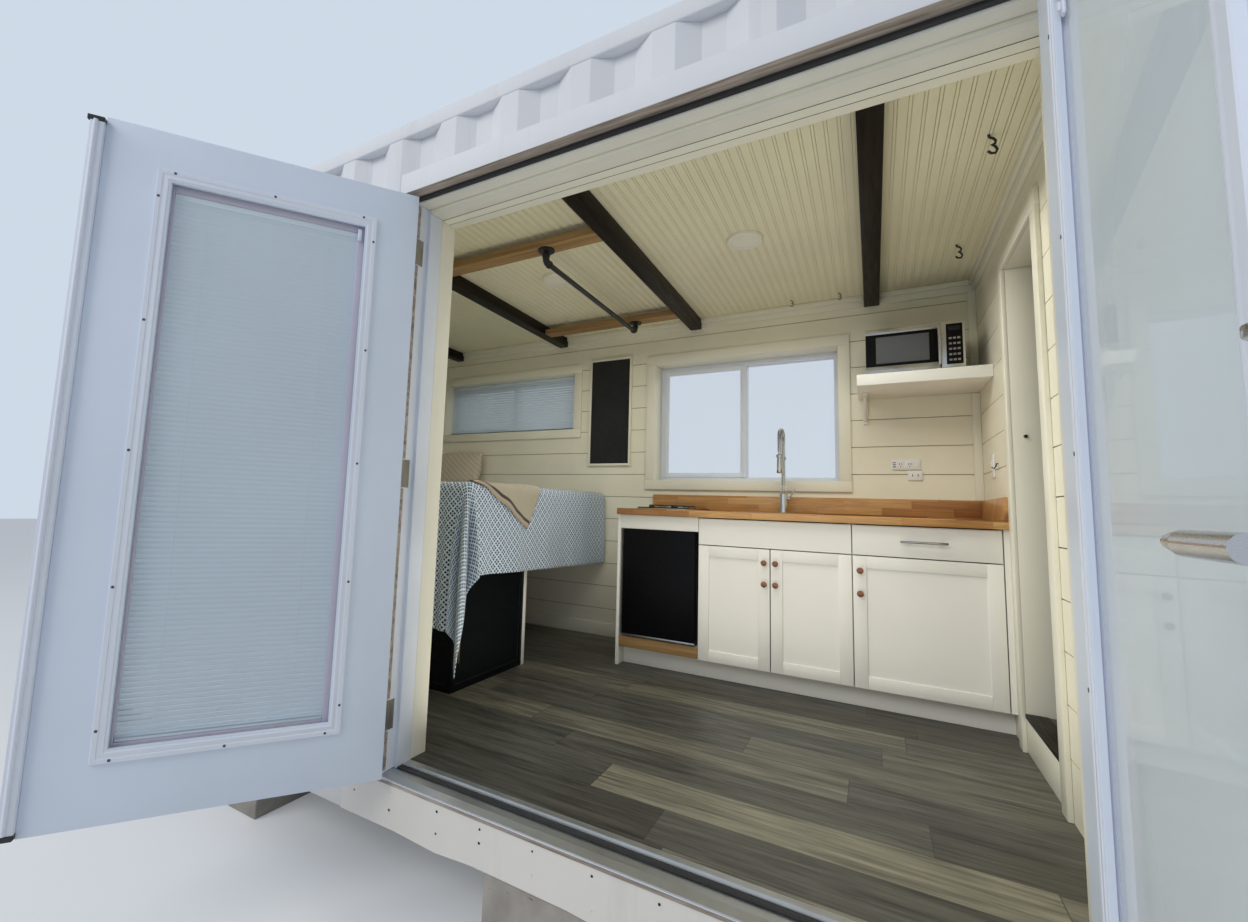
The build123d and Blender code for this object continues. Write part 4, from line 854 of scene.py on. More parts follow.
# The open joints are thin near-black strips: painted shade in the gaps.
for y, z in ((-1.1665, 2.4096), (-1.1030, 2.3970), (-1.0660, 2.3970)):
    add_box(bm, (OPEN_X0, y - 0.0007, z - 0.0003), (OPEN_X1, y + 0.0007, z + 0.0004), 1)
add_box(bm, (-0.4710, -1.2262, 0.3412), (1.4390, -1.2248, 0.3508), 2)
add_box(bm, (-0.4260, -1.1686, 2.3990), (1.3940, -1.1668, 2.4084), 3, 0.0006)
finish_piece("head_bead", bm, [CREAM_FRAME, SHADE_AND_DISPLAY_BLACK, WEATHERED, SEAL_CREAM], "shell")

bm = bmesh.new()
add_box(bm, (OPEN_X0, -1.1438, 0.3641), (OPEN_X1, -1.1398, 0.3716), 0, 0.0010)
finish_piece("sill_ridge", bm, [SILL_METAL], "shell")

chance = random.Random(7)
APRON_FACE = -1.2215
bm = bmesh.new()
for k in range(12):
    x = -0.56 + 0.185 * k + chance.uniform(-0.02, 0.02)
    for z in (0.318, 0.318 - chance.uniform(0.03, 0.09)):
        out = -1.2228 - chance.uniform(0.0, 0.0008)
        radius = chance.uniform(0.0028, 0.0048)
        add_rod(bm, (x, out, z), (x, APRON_FACE, z), radius, chance.choice((0, 1)), 14)
finish_piece("apron_screws", bm, [SHADE_AND_DISPLAY_BLACK, FRAME_STEEL], "shell")

# %% [markdown]
# Under the ceiling: the elbows and flange screws of the pipe, the round lamps, and the small
# scroll hooks.

# %% Ceiling fittings
PIPE_X, PIPE_Z, PIPE_YS, BEND_R = -0.360, 2.4952, (-0.4445, 0.7155), 0.0216
bm = bmesh.new()
for y, way in zip(PIPE_YS, (1, -1)):
    bend = []
    for step in range(9):
        angle = QUARTER * step / 8
        out, down = BEND_R * (1 - math.cos(angle)), BEND_R * (1 - math.sin(angle))
        bend.append((PIPE_X, y + way * out, PIPE_Z + down))
    path = [(PIPE_X, y, PIPE_Z + 0.034)] + bend + [(PIPE_X, y + way * 0.036, PIPE_Z)]
    add_tube(bm, path, 0.0172, 0, 20)
    for start, end in (((PIPE_X, y, PIPE_Z + 0.027), (PIPE_X, y, PIPE_Z + 0.037)),
                       ((PIPE_X, y + way * 0.028, PIPE_Z), (PIPE_X, y + way * 0.038, PIPE_Z))):
        add_rod(bm, start, end, 0.0198, 0, 24, ease=0.0015)
    for turn_by in range(4):
        angle = QUARTER * (turn_by + 0.5)
        x, near = PIPE_X + 0.031 * math.cos(angle), y + 0.031 * math.sin(angle)
        add_rod(bm, (x, near, 2.5478), (x, near, 2.5510), 0.0042, 0, 12, 0.0034)
finish_piece("pipe_elbows", bm, [BLACK_IRON], "shell")

bm = bmesh.new()
DISC = [(0.0, -0.0235), (0.030, -0.0232), (0.058, -0.0215), (0.0635, -0.0185), (0.0655, -0.0180),
        (0.0680, -0.0210), (0.0740, -0.0225), (0.0805, -0.0205), (0.0845, -0.0150), (0.0850, -0.0080),
        (0.0850, 0.0), (0.0, 0.0)]
for left_beam, right_beam in zip(BEAM_XS, BEAM_XS[1:]):
    add_lathe(bm, DISC, Matrix.Translation(((left_beam + right_beam) / 2, 0.0, 2.6276)), 0, 48)
finish_piece("round_lamps", bm, [LAMP_WHITE], "shell", ("ceiling_lights",), 50.0)

bm = bmesh.new()
SCROLL = [(0.0, 0.0), (0.004, -0.010), (0.016, -0.012), (0.025, -0.020), (0.022, -0.031), (0.010, -0.036),
          (0.022, -0.041), (0.029, -0.053), (0.022, -0.066), (0.006, -0.068), (-0.004, -0.060)]
for x, y in ((1.405, -0.373), (1.408, 0.501), (0.874, 0.904), (0.606, 0.906)):
    size = 1.0 if y < 0.8 else 0.6
    path = [(x + a * 0.87 * size, y + a * 0.5 * size, 2.6278 + b * size) for a, b in SCROLL]
    add_tube(bm, path, 0.0042 * size, 0, 10)
finish_piece("scroll_hooks", bm, [BLACK_IRON], "shell", (), 60.0)

# %% [markdown]
# Small white plates on the walls: a double socket with a rocker beside it, a plate with two slots
# under it, and a switch on the partition. A hook and a latch are black iron. All are plain boxes
# and bars, because they are only a few pixels wide in the picture, but each has its own relief.

# %% Sockets, switch, hook and latch
bm = bmesh.new()
# The slots of the sockets and the lines on the rocker are near-black: painted shade in them.
add_box(bm, (1.129, 1.0195, 1.565), (1.269, WALL_Y, 1.623), 0, 0.003)
for x in (1.172, 1.216):
    add_box(bm, (x - 0.0165, 1.0182, 1.574), (x + 0.0165, 1.0197, 1.614), 0, 0.0008)
    for across, z, tall in ((-0.006, 1.598, 0.0050), (0.006, 1.598, 0.0050), (0.0, 1.583, 0.0035)):
        slot_x = x + across
        add_box(bm, (slot_x - 0.0016, 1.0176, z - tall), (slot_x + 0.0016, 1.0184, z + tall), 1)
for z in (1.582, 1.594, 1.606):
    add_box(bm, (1.134, 1.0186, z - 0.0022), (1.148, 1.0197, z + 0.0022), 1)
add_box(bm, (1.243, 1.0168, 1.578), (1.257, 1.0197, 1.610), 0, 0.0012)
add_box(bm, (1.206, 1.0195, 1.504), (1.277, WALL_Y, 1.560), 0, 0.003)
for x in (1.228, 1.255):
    add_box(bm, (x - 0.0018, 1.0186, 1.527), (x + 0.0018, 1.0197, 1.539), 1)
add_box(bm, (PARTITION_X - 0.0085, 0.689, 1.500), (PARTITION_FACE, 0.761, 1.616), 0, 0.003)
add_box(bm, (PARTITION_X - 0.0120, 0.711, 1.535), (PARTITION_X - 0.0084, 0.739, 1.582), 0, 0.001)
finish_piece("socket_plates", bm, [SOCKET_WHITE, SHADE_AND_DISPLAY_BLACK], "shell")

bm = bmesh.new()
HOOK = ((0.0004, 1.562), (0.006, 1.562), (0.010, 1.548), (0.018, 1.538), (0.026, 1.546))
add_tube(bm, [(PARTITION_X - out, 0.618, z) for out, z in HOOK], 0.0028, 0, 10)
add_rod(bm, (1.593, 0.2944, 1.649), (1.593, 0.2860, 1.649), 0.0075, 0, 20, 0.0060)
finish_piece("hook_and_latch", bm, [BLACK_IRON], "shell", (), 50.0)

# %% [markdown]
# The two doors are built closed, in the leaf's own place: u runs from the hinge jamb, v into
# the cabin and z up. A matrix then turns them to how they stand in the model. The right leaf is
# the mirror image of the left one.

# %% Place of the leaves
LEFT_OPEN, RIGHT_OPEN = math.radians(126.4), math.radians(85.8)
LEAF_T = 0.0445
LITE_U, LITE_Z = (0.1435, 0.7805), (0.538, 2.280)
WELL_U, WELL_Z = (0.1757, 0.7483), (0.5704, 2.2476)
HINGE_ZS, PIN_U, PIN_V, PLATE_HALF = (0.552, 1.388, 2.224), 0.0025, -0.008, 0.0497

hang = Matrix.Translation((-PIN_U, -PIN_V, 0.0))
left_pin = Matrix.Translation((HINGE_LEFT + PIN_U, HINGE_Y, 0.0))
right_pin = Matrix.Translation((HINGE_RIGHT - PIN_U, HINGE_Y, 0.0))
mirrored = Matrix.Scale(-1.0, 4, (1.0, 0.0, 0.0))
SIDES = {"left": left_pin @ Matrix.Rotation(-LEFT_OPEN, 4, "Z") @ hang,
         "right": right_pin @ Matrix.Rotation(RIGHT_OPEN, 4, "Z") @ (mirrored @ hang)}
print("pins at", [tuple(round(v, 4) for v in pin.translation) for pin in (left_pin, right_pin)])


def hang_piece(name, bm, paints, side, stands_for=(), sharp=32.0):
    """Turn a piece built on the closed leaf to where the leaf stands, and let it ride there."""
    bmesh.ops.transform(bm, matrix=SIDES[side], verts=bm.verts)
    if side == "right":
        bmesh.ops.reverse_faces(bm, faces=bm.faces)
    return finish_piece(name, bm, paints, side + "_door", stands_for, sharp)


def add_moulding(bm, u_span, z_span, v, looks, steps, paint=0):
    """A picture-frame moulding: a face is inset step by step, each with a width and a rise."""
    middle = Vector(((u_span[0] + u_span[1]) / 2, v, (z_span[0] + z_span[1]) / 2))
    across = Vector((-looks, 0.0, 0.0))
    frame_turn = Matrix((across, Vector((0, 0, 1)), Vector((0, looks, 0)))).transposed().to_4x4()
    scale = Matrix.Diagonal(((u_span[1] - u_span[0]) / 2, (z_span[1] - z_span[0]) / 2, 1.0, 1.0))
    corners = bmesh.ops.create_grid(bm, x_segments=1, y_segments=1, size=1.0,
                                    matrix=Matrix.Translation(middle) @ frame_turn @ scale)["verts"]
    centre = corners[0].link_faces[0]
    centre.normal_update()
    for thickness, depth in steps:
        ring = bmesh.ops.inset_region(bm, faces=[centre], thickness=thickness, depth=depth,
                                      use_boundary=True, use_even_offset=True)["faces"]
        paint_faces(ring, paint)
    bmesh.ops.delete(bm, geom=[centre], context="FACES")


# %% [markdown]
# Each leaf is a plain slab. On both faces a moulded frame holds the glass. On the room side the
# frame has a row of screw holes. Between the panes there is a spacer, wider at the top and on
# the hinge side, and in front of it the slider of the blind.

# %% Leaves, frames and spacers
MOULD = [(0.0006, 0.0082), (0.0020, 0.0016), (0.0110, 0.0004), (0.0020, -0.0014), (0.0050, 0.0),
         (0.0020, 0.0010), (0.0070, 0.0), (0.0040, -0.0026), (0.0040, -0.0052)]
SCREW_IN, SPACER_V = 0.0085, (0.0124, 0.0321)
for side in ("left", "right"):
    eased_piece(side + "_leaf", side + "_slab", DOOR_WHITE_PAINTED_SKYLIGHT, 0.0014, side + "_door")

    bm = bmesh.new()
    outer_u, outer_z = ((span[0] - 0.0006, span[1] + 0.0006) for span in (LITE_U, LITE_Z))
    for v, looks in ((0.0, -1), (LEAF_T, 1)):
        add_moulding(bm, outer_u, outer_z, v, looks, MOULD)
    spots = []
    for k in range(3):
        u = LITE_U[0] + 0.045 + k * (LITE_U[1] - LITE_U[0] - 0.09) / 2
        spots += [(u, LITE_Z[0] + SCREW_IN), (u, LITE_Z[1] - SCREW_IN)]
    for k in range(5):
        z = LITE_Z[0] + 0.09 + k * (LITE_Z[1] - LITE_Z[0] - 0.18) / 4
        spots += [(LITE_U[0] + SCREW_IN, z), (LITE_U[1] - SCREW_IN, z)]
    for u, z in spots:
        add_rod(bm, (u, LEAF_T + 0.0094, z), (u, LEAF_T + 0.0108, z), 0.0040, 1, 14)
    hang_piece(side + "_lite_frame", bm, [LITE_WHITE_PAINTED_SKYLIGHT, VINYL_GREY], side)

    bm = bmesh.new()
    (u0, u1), (z0, z1), (v0, v1) = WELL_U, WELL_Z, SPACER_V
    for start, end, low, high in ((u0, u0 + 0.0250, z0, z1), (u1 - 0.0110, u1, z0, z1),
                                  (u0 + 0.0251, u1 - 0.0111, z0, z0 + 0.0120),
                                  (u0 + 0.0251, u1 - 0.0111, z1 - 0.0260, z1)):
        add_box(bm, (start, v0, low), (end, v1, high), 0, 0.001)
    hang_piece(side + "_spacer", bm, [SPACER_PINK], side)

    bm = bmesh.new()
    add_box(bm, (0.1900, LEAF_T - 0.0076, 2.190), (0.2040, LEAF_T - 0.0010, 2.232), 0, 0.003, 3)
    add_box(bm, (0.1930, LEAF_T - 0.0012, 2.199), (0.2010, LEAF_T + 0.0045, 2.216), 0, 0.002)
    hang_piece(side + "_slider", bm, [LITE_WHITE_PAINTED_SKYLIGHT], side)

# %% [markdown]
# The blind between the panes: thin slats under a head rail, held by two ladders of string. The
# left blind is let down, and its slats are nearly closed. The right one is drawn up, so its lower
# slats lie stacked on the bottom rail. A slat is one strip, bent a little and given a thickness,
# so that it stays light although there are more than a hundred of them.

# %% Blinds between the panes
def add_blind(bm, u_span, top, bottom, end, v, slat, pitch, tilt):
    """Slats from the top down to the bottom rail, and stacked ones from there to the end."""
    u0, u1 = u_span
    add_box(bm, (u0, v - 0.0070, top - 0.018), (u1, v + 0.0070, top), 0, 0.001)
    add_box(bm, (u0, v - 0.0055, end), (u1, v + 0.0055, end + 0.009), 0, 0.002)
    spots = []
    z = top - 0.026
    while z > bottom:
        spots.append((z, tilt))
        z -= pitch
    stack = max(0.0, bottom - end - 0.010)
    spots += [(end + 0.011 + k * 0.0011, 0.0) for k in range(int(stack / 0.0011))]
    for z, lean in spots:
        place = Matrix.Translation(((u0 + u1) / 2, v, z)) @ Matrix.Rotation(lean, 4, "X")
        corners = bmesh.ops.create_grid(bm, x_segments=1, y_segments=4, size=0.5)["verts"]
        for corner in corners:
            rise = 0.0013 * (1 - 4 * corner.co.y ** 2) * math.sin(lean)
            corner.co = place @ Vector((corner.co.x * (u1 - u0), corner.co.y * slat, rise))
        bmesh.ops.solidify(bm, geom=faces_of(corners), thickness=0.0003)
    for share in (0.17, 0.83):
        u = u0 + share * (u1 - u0)
        for near in (-1, 1):
            string_v = v + near * slat * 0.40
            add_rod(bm, (u, string_v, end + 0.004), (u, string_v, top - 0.01), 0.0006, 0, 8)


BLIND_U, BLIND_TOP, BLIND_V = (WELL_U[0] + 0.0262, WELL_U[1] - 0.0122), WELL_Z[1] - 0.0265, LEAF_T / 2
RIGHT_END = WELL_Z[1] - 1.180
for side, bottom, end, slat, tilt in (("left", WELL_Z[0] + 0.028, WELL_Z[0] + 0.0130, 0.0170, 68),
                                      ("right", RIGHT_END + 0.060, RIGHT_END, 0.0160, 20)):
    bm = bmesh.new()
    add_blind(bm, BLIND_U, BLIND_TOP, bottom, end, BLIND_V, slat, 0.0152, math.radians(tilt))
    hang_piece(side + "_slats", bm, [SLAT_WHITE_PAINTED_SKYLIGHT], side, (side + "_blind",))

# %% [markdown]
# Hinges have a knuckle in five parts, a plate with screws on the edge of the leaf, and one on
# the jamb. The parts on the leaf ride with it, and those on the jamb stay. The left leaf's closing
# strip has black end caps. Bare wood shows in the hinge gap.

# %% Hinges and closing strip
for side in ("left", "right"):
    # The screw slots are near-black strips: painted shade.
    bm = bmesh.new()
    for z in HINGE_ZS:
        for k in range(5):
            low = z - PLATE_HALF + k * 0.02
            add_rod(bm, (PIN_U, PIN_V, low), (PIN_U, PIN_V, low + 0.0193), 0.0075, 0, 20, ease=0.0006)
        for end in (z - 0.0535, z + 0.0500):
            add_rod(bm, (PIN_U, PIN_V, end), (PIN_U, PIN_V, end + 0.0034), 0.0052, 0, 16, ease=0.001)
        add_box(bm, (0.0032, -0.0075, z - PLATE_HALF), (0.0047, 0.0335, z + PLATE_HALF), 0, 0.0004)
        for lift, v in ((-0.036, 0.022), (-0.014, 0.012), (0.014, 0.022), (0.036, 0.012)):
            add_rod(bm, (0.0026, v, z + lift), (0.0033, v, z + lift), 0.0038, 0, 14, 0.0042)
            add_box(bm, (0.00245, v - 0.0030, z + lift - 0.0004), (0.0027, v + 0.0030, z + lift + 0.0004), 1)
    hang_piece(side + "_butt_hinges", bm, [HINGE_GREY, SHADE_AND_DISPLAY_BLACK], side, (side + "_hinges",))

bm = bmesh.new()
for x, way in ((HINGE_LEFT, 1), (HINGE_RIGHT, -1)):
    for z in HINGE_ZS:
        xs = sorted((x + way * 0.0003, x + way * 0.0016))
        add_box(bm, (xs[0], -1.2185, z - PLATE_HALF), (xs[1], -1.1850, z + PLATE_HALF), 0, 0.0003)
        for lift, y in ((-0.036, -1.197), (-0.014, -1.207), (0.014, -1.197), (0.036, -1.207)):
            start, end = (x + way * 0.0015, y, z + lift), (x + way * 0.0020, y, z + lift)
            add_rod(bm, start, end, 0.0040, 0, 14, 0.0036)
finish_piece("jamb_plates", bm, [HINGE_GREY], "shell")

bm = bmesh.new()
for x, way in ((HINGE_LEFT, 1), (HINGE_RIGHT, -1)):
    xs = sorted((x, x + way * 0.0006))
    for low, high in ((0.372, 0.498), (0.606, 1.334), (1.442, 2.170), (2.278, 2.404)):
        add_box(bm, (xs[0], -1.2188, low), (xs[1], -1.2060, high), 0)
finish_piece("bare_jamb_edges", bm, [WEATHERED], "shell")

bm = merged_copy("astragal")
ease_edges(bm, 0.0012)
bmesh.ops.transform(bm, matrix=SIDES["left"].inverted(), verts=bm.verts)
for low, high in ((2.3765, 2.3920), (0.3745, 0.3905)):
    add_box(bm, (0.9188, 0.0485, low), (0.9600, 0.0600, high), 1, 0.002)
    add_box(bm, (0.9188, 0.0010, low), (0.9228, 0.0486, high), 1, 0.001)
add_rod(bm, (0.9390, 0.0588, 0.392), (0.9390, 0.0588, 2.379), 0.0060, 0, 20)
hang_piece("closing_strip", bm, [LITE_WHITE_PAINTED_SKYLIGHT, RUBBER], "left", ("astragal",))

# %% [markdown]
# The lock: turned roses, and levers that are a straight round bar, cut off at a slant, with a
# thin tongue that goes on from the cut. On the room side a tall oval plate with two screws
# carries the thumb turn of the dead bolt.

# %% Lock and levers
bm = bmesh.new()
LOCK_U, LEVER_Z, BOLT_Z = 0.859, 1.277, 1.422
PLATE_U = LOCK_U - 0.004
BAR_R, BAR_OUT, BAR_LONG, TONGUE = 0.0108, 0.052, 0.100, 0.046
ROSE = [(0.0, 0.010), (0.012, 0.010), (0.0215, 0.0090), (0.0260, 0.0060), (0.0270, 0.0020), (0.0270, 0.0003),
        (0.0, 0.0003)]
OUTER_ROSE = [(0.0, 0.019), (0.010, 0.019), (0.0150, 0.0175), (0.0165, 0.0125), (0.0250, 0.0115),
              (0.0270, 0.0060), (0.0270, 0.0003), (0.0, 0.0003)]
BOLT_PLATE = [(0.0, 0.0125), (0.008, 0.0125), (0.0150, 0.0110), (0.0200, 0.0085), (0.0245, 0.0070),
              (0.0268, 0.0040), (0.0272, 0.0003), (0.0, 0.0003)]
for face_v, way in ((0.0, -1), (LEAF_T, 1)):
    out = Matrix.Rotation(-way * QUARTER, 4, "X")
    add_lathe(bm, ROSE, Matrix.Translation((LOCK_U, face_v, LEVER_Z)) @ out, 0, 40)
    bar_v = face_v + way * BAR_OUT
    add_rod(bm, (LOCK_U, face_v + way * 0.009, LEVER_Z), (LOCK_U, bar_v, LEVER_Z), 0.0098, 0, 24, 0.0098)
    start, end = (LOCK_U + BAR_R, bar_v, LEVER_Z), (LOCK_U - BAR_LONG - 0.02, bar_v, LEVER_Z)
    bar = bmesh.ops.create_cone(bm, cap_ends=True, segments=32, radius1=BAR_R, radius2=BAR_R,
                                depth=BAR_LONG + 0.02 + BAR_R, matrix=along(start, end))["verts"]
    cut = bmesh.ops.bisect_plane(bm, geom=bar + edges_of(bar) + faces_of(bar), dist=0.00001,
                                 clear_outer=True, plane_co=(LOCK_U - BAR_LONG, bar_v, LEVER_Z),
                                 plane_no=(-1.0, way * 0.8, 0.0))
    rim = [e for e in cut["geom_cut"] if isinstance(e, bmesh.types.BMEdge)]
    bmesh.ops.edgeloop_fill(bm, edges=rim)
    blade = Matrix.Translation((LOCK_U - BAR_LONG - 0.012, bar_v - way * 0.0060, LEVER_Z))
    blade = blade @ Matrix.Rotation(-way * 0.16, 4, "Z")
    blade = blade @ Matrix.Diagonal((TONGUE * 0.85, 0.0030, BAR_R * 0.9, 1.0))
    bmesh.ops.create_uvsphere(bm, u_segments=24, v_segments=16, radius=1.0, matrix=blade)
out = Matrix.Rotation(QUARTER, 4, "X")
add_lathe(bm, OUTER_ROSE, Matrix.Translation((LOCK_U, 0.0, BOLT_Z)) @ out, 1, 40)
out = Matrix.Rotation(-QUARTER, 4, "X")
tall = Matrix.Translation((PLATE_U, LEAF_T, BOLT_Z)) @ Matrix.Diagonal((1.22, 1.0, 2.55, 1.0)) @ out
add_lathe(bm, BOLT_PLATE, tall, 1, 56)
for z in (BOLT_Z - 0.052, BOLT_Z + 0.052):
    add_rod(bm, (PLATE_U, LEAF_T + 0.006, z), (PLATE_U, LEAF_T + 0.0125, z), 0.0042, 0, 16, 0.0036)
add_rod(bm, (PLATE_U, LEAF_T + 0.010, BOLT_Z), (PLATE_U, LEAF_T + 0.020, BOLT_Z), 0.0125, 1, 28, 0.0105)
turn_v, half = LEAF_T + 0.0260, 0.0045
add_rod(bm, (PLATE_U, turn_v, BOLT_Z - half), (PLATE_U, turn_v, BOLT_Z + half), 0.0170, 0, 32, ease=0.0015)
hang_piece("door_lock", bm, [NICKEL, DARK_NICKEL], "right", ("lock_set",), 40.0)

# %% [markdown]
# The kitchen. Fronts are framed doors: two stiles and two rails round a thinner panel, with
# turned copper knobs. Each front rides on its own body, so that it opens with the model.

# %% Cupboard doors and drawer
FRONT_Y0, FRONT_Y1, DOOR_ZS, BAR = 0.4192, 0.4382, (0.477, 1.0995), 0.058
SINK_MID, TAP_Y, HOB_X = 0.554, 0.927, -0.0645
KNOB = [(0.0, 0.0), (0.0065, 0.0), (0.0062, 0.0080), (0.0072, 0.0120), (0.0118, 0.0145), (0.0150, 0.0190),
        (0.0155, 0.0222), (0.0138, 0.0252), (0.0090, 0.0268), (0.0, 0.0272)]


def framed_door(name, span, knobs, body):
    """A cupboard door of rails, stiles and panel, with its knobs."""
    bm = bmesh.new()
    add_bars(bm, span, DOOR_ZS, (FRONT_Y0, FRONT_Y1), BAR, 0, 0.0012)
    (x0, x1), (z0, z1) = ((ends[0] + BAR - 0.004, ends[1] - BAR + 0.004) for ends in (span, DOOR_ZS))
    add_box(bm, (x0, FRONT_Y0 + 0.0065, z0), (x1, FRONT_Y1 - 0.002, z1))
    for x in knobs:
        for z in (1.0295, 0.9195):
            seat = Matrix.Translation((x, FRONT_Y0 + 0.0004, z)) @ Matrix.Rotation(QUARTER, 4, "X")
            add_lathe(bm, KNOB, seat, 1, 28)
    return finish_piece(name + "_front", bm, [CABINET_WHITE, COPPER], body, (name,), 40.0)


framed_door("sink_door_left", (0.1755, 0.5515), (0.526,), "sink_left")
framed_door("sink_door_right", (0.5565, 0.9325), (0.582,), "sink_right")
framed_door("unit_door", (0.9375, 1.5200), (0.969,), "unit_flap")

bm = bmesh.new()
add_box(bm, (0.9375, FRONT_Y0, 1.1045), (1.5200, FRONT_Y1, 1.2490), 0, 0.0014)
for a, b in ((0.967, 0.981), (1.479, 1.493)):
    add_box(bm, (a, 0.4380, 1.122), (b, 0.9182, 1.224), 2, 0.001)
for a, b in ((0.4380, 0.4522), (0.9042, 0.9182)):
    add_box(bm, (0.9811, a, 1.122), (1.4789, b, 1.224), 2, 0.001)
add_box(bm, (0.9811, 0.4523, 1.122), (1.4789, 0.9041, 1.130), 2)
add_rod(bm, (1.137, 0.3912, 1.178), (1.323, 0.3912, 1.178), 0.0060, 1, 24, ease=0.001)
for x in (1.166, 1.294):
    add_rod(bm, (x, 0.3930, 1.178), (x, 0.4195, 1.178), 0.0045, 1, 20, 0.0055)
finish_piece("drawer_front_and_box", bm, [CABINET_WHITE, NICKEL, PLYWOOD], "drawer_box",
             ("drawer",), 40.0)

# %% [markdown]
# Behind the fronts: the cabinet boxes with their edges eased, a plain panel over the fridge, the
# wooden front of the base it stands on, and the riser with a dark nosing at the raised floor.

# %% Cabinets and what closes them
eased_piece("base_units", "cabinet_boxes", CABINET_WHITE, 0.0010, segments=1)
bm = bmesh.new()
add_box(bm, (-0.3016, FRONT_Y0, 1.1725), (0.1726, 0.4372, 1.2535), 0, 0.0012)
finish_piece("panel_over_fridge", bm, [CABINET_WHITE], "shell")
bm = bmesh.new()
add_box(bm, (-0.3016, 0.4250, 0.4775), (0.1726, 0.4384, 0.5392), 0, 0.0015)
finish_piece("fridge_plinth", bm, [RAW_WOOD], "shell")
bm = bmesh.new()
add_box(bm, (PARTITION_X + 0.0002, -0.2146, 0.3706), (PARTITION_X + 0.0058, 0.2946, 0.5040), 0, 0.001)
add_box(bm, (PARTITION_X - 0.0040, -0.2146, 0.5042), (PARTITION_X + 0.0700, 0.2946, 0.5225), 1, 0.003)
finish_piece("step_riser", bm, [TRIM_WHITE, ESPRESSO], "shell")

# %% [markdown]
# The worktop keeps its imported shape, and its staves come from the material. The sink gets a
# turned drain. The hob is a sheet of black glass in a steel rim, with two turned burners, pan
# supports swept from bars, and two knobs.

# %% Worktop, sink and hob
eased_piece("worktop", "glued_worktop", BUTCHER, 0.0028)
bm = merged_copy("sink")
ease_edges(bm, 0.0012)
add_lathe(bm, [(0.0, 0.0012), (0.022, 0.0012), (0.030, 0.0030), (0.040, 0.0022), (0.042, 0.0), (0.0, 0.0)],
          Matrix.Translation((SINK_MID, 0.699, 1.1252)), 0, 32)
finish_piece("steel_sink", bm, [STAINLESS], "shell", ("sink",), 40.0)

bm = bmesh.new()
add_box(bm, (HOB_X - 0.15, 0.4636, 1.2926), (HOB_X + 0.15, 0.9736, 1.3040), 0, 0.003)
add_box(bm, (HOB_X - 0.1515, 0.4621, 1.2925), (HOB_X + 0.1515, 0.9751, 1.2985), 1, 0.002)
BURNER = [(0.0, 0.0135), (0.024, 0.0135), (0.030, 0.0110), (0.031, 0.0060), (0.044, 0.0050), (0.046, 0.0020),
          (0.079, 0.0018), (0.082, 0.0), (0.0, 0.0)]
RING_R = 0.070
for y in (0.6136, 0.8336):
    add_lathe(bm, BURNER, Matrix.Translation((HOB_X, y, 1.3040)), 1, 40)
    for quarter in range(4):
        angle = QUARTER * (quarter + 0.5)
        way = Vector((math.cos(angle), math.sin(angle), 0.0))
        start, middle = (Vector((HOB_X, y, 1.3175)) + way * far for far in (0.022, 0.098))
        add_tube(bm, [start, middle, middle + way * 0.010 - Vector((0, 0, 0.0135))], 0.0032, 2, 8)
    angles = [QUARTER * k / 6 for k in range(25)]
    ring = [(HOB_X + RING_R * math.cos(turn), y + RING_R * math.sin(turn), 1.3150) for turn in angles]
    add_tube(bm, ring, 0.0026, 2, 8)
for x in (HOB_X - 0.07, HOB_X + 0.07):
    add_rod(bm, (x, 0.4930, 1.3035), (x, 0.4930, 1.3190), 0.0165, 2, 24, 0.0145, 0.0015)
finish_piece("two_ring_hob", bm, [BLACK_GLOSS, STAINLESS, BLACK_IRON], "shell",
             ("hob",), 40.0)

# %% [markdown]
# The tap has a spring round its neck. The spring is one helix that follows the neck up, over
# and down to the spray head.

# %% Spring tap
NECK_BASE, NECK_TOP, NECK_R = 1.400, 1.7184, 0.075
NECK_LENGTH = NECK_TOP - NECK_BASE + math.pi * NECK_R + 0.075
TAP_BODY = [(0.0, 0.0), (0.0260, 0.0), (0.0265, 0.0040), (0.0235, 0.0065), (0.0235, 0.1180),
            (0.0220, 0.1240), (0.0150, 0.1290), (0.0120, 0.1350), (0.0, 0.1350)]
SPRAY_HEAD = [(0.0, 0.0), (0.0150, 0.0), (0.0175, 0.0030), (0.0165, 0.0500), (0.0135, 0.1000),
              (0.0110, 0.1150), (0.0, 0.1150)]
SPRAY_Y = TAP_Y - 0.150


def neck_point(run):
    """Place and direction on the neck after this length of run."""
    if run < NECK_TOP - NECK_BASE:
        return Vector((SINK_MID, TAP_Y, NECK_BASE + run)), Vector((0, 0, 1))
    run -= NECK_TOP - NECK_BASE
    if run < math.pi * NECK_R:
        angle = run / NECK_R
        y, z = TAP_Y - NECK_R + NECK_R * math.cos(angle), NECK_TOP + NECK_R * math.sin(angle)
        return Vector((SINK_MID, y, z)), Vector((0, -math.sin(angle), math.cos(angle)))
    return Vector((SINK_MID, TAP_Y - 2 * NECK_R, NECK_TOP - (run - math.pi * NECK_R))), Vector((0, 0, -1))


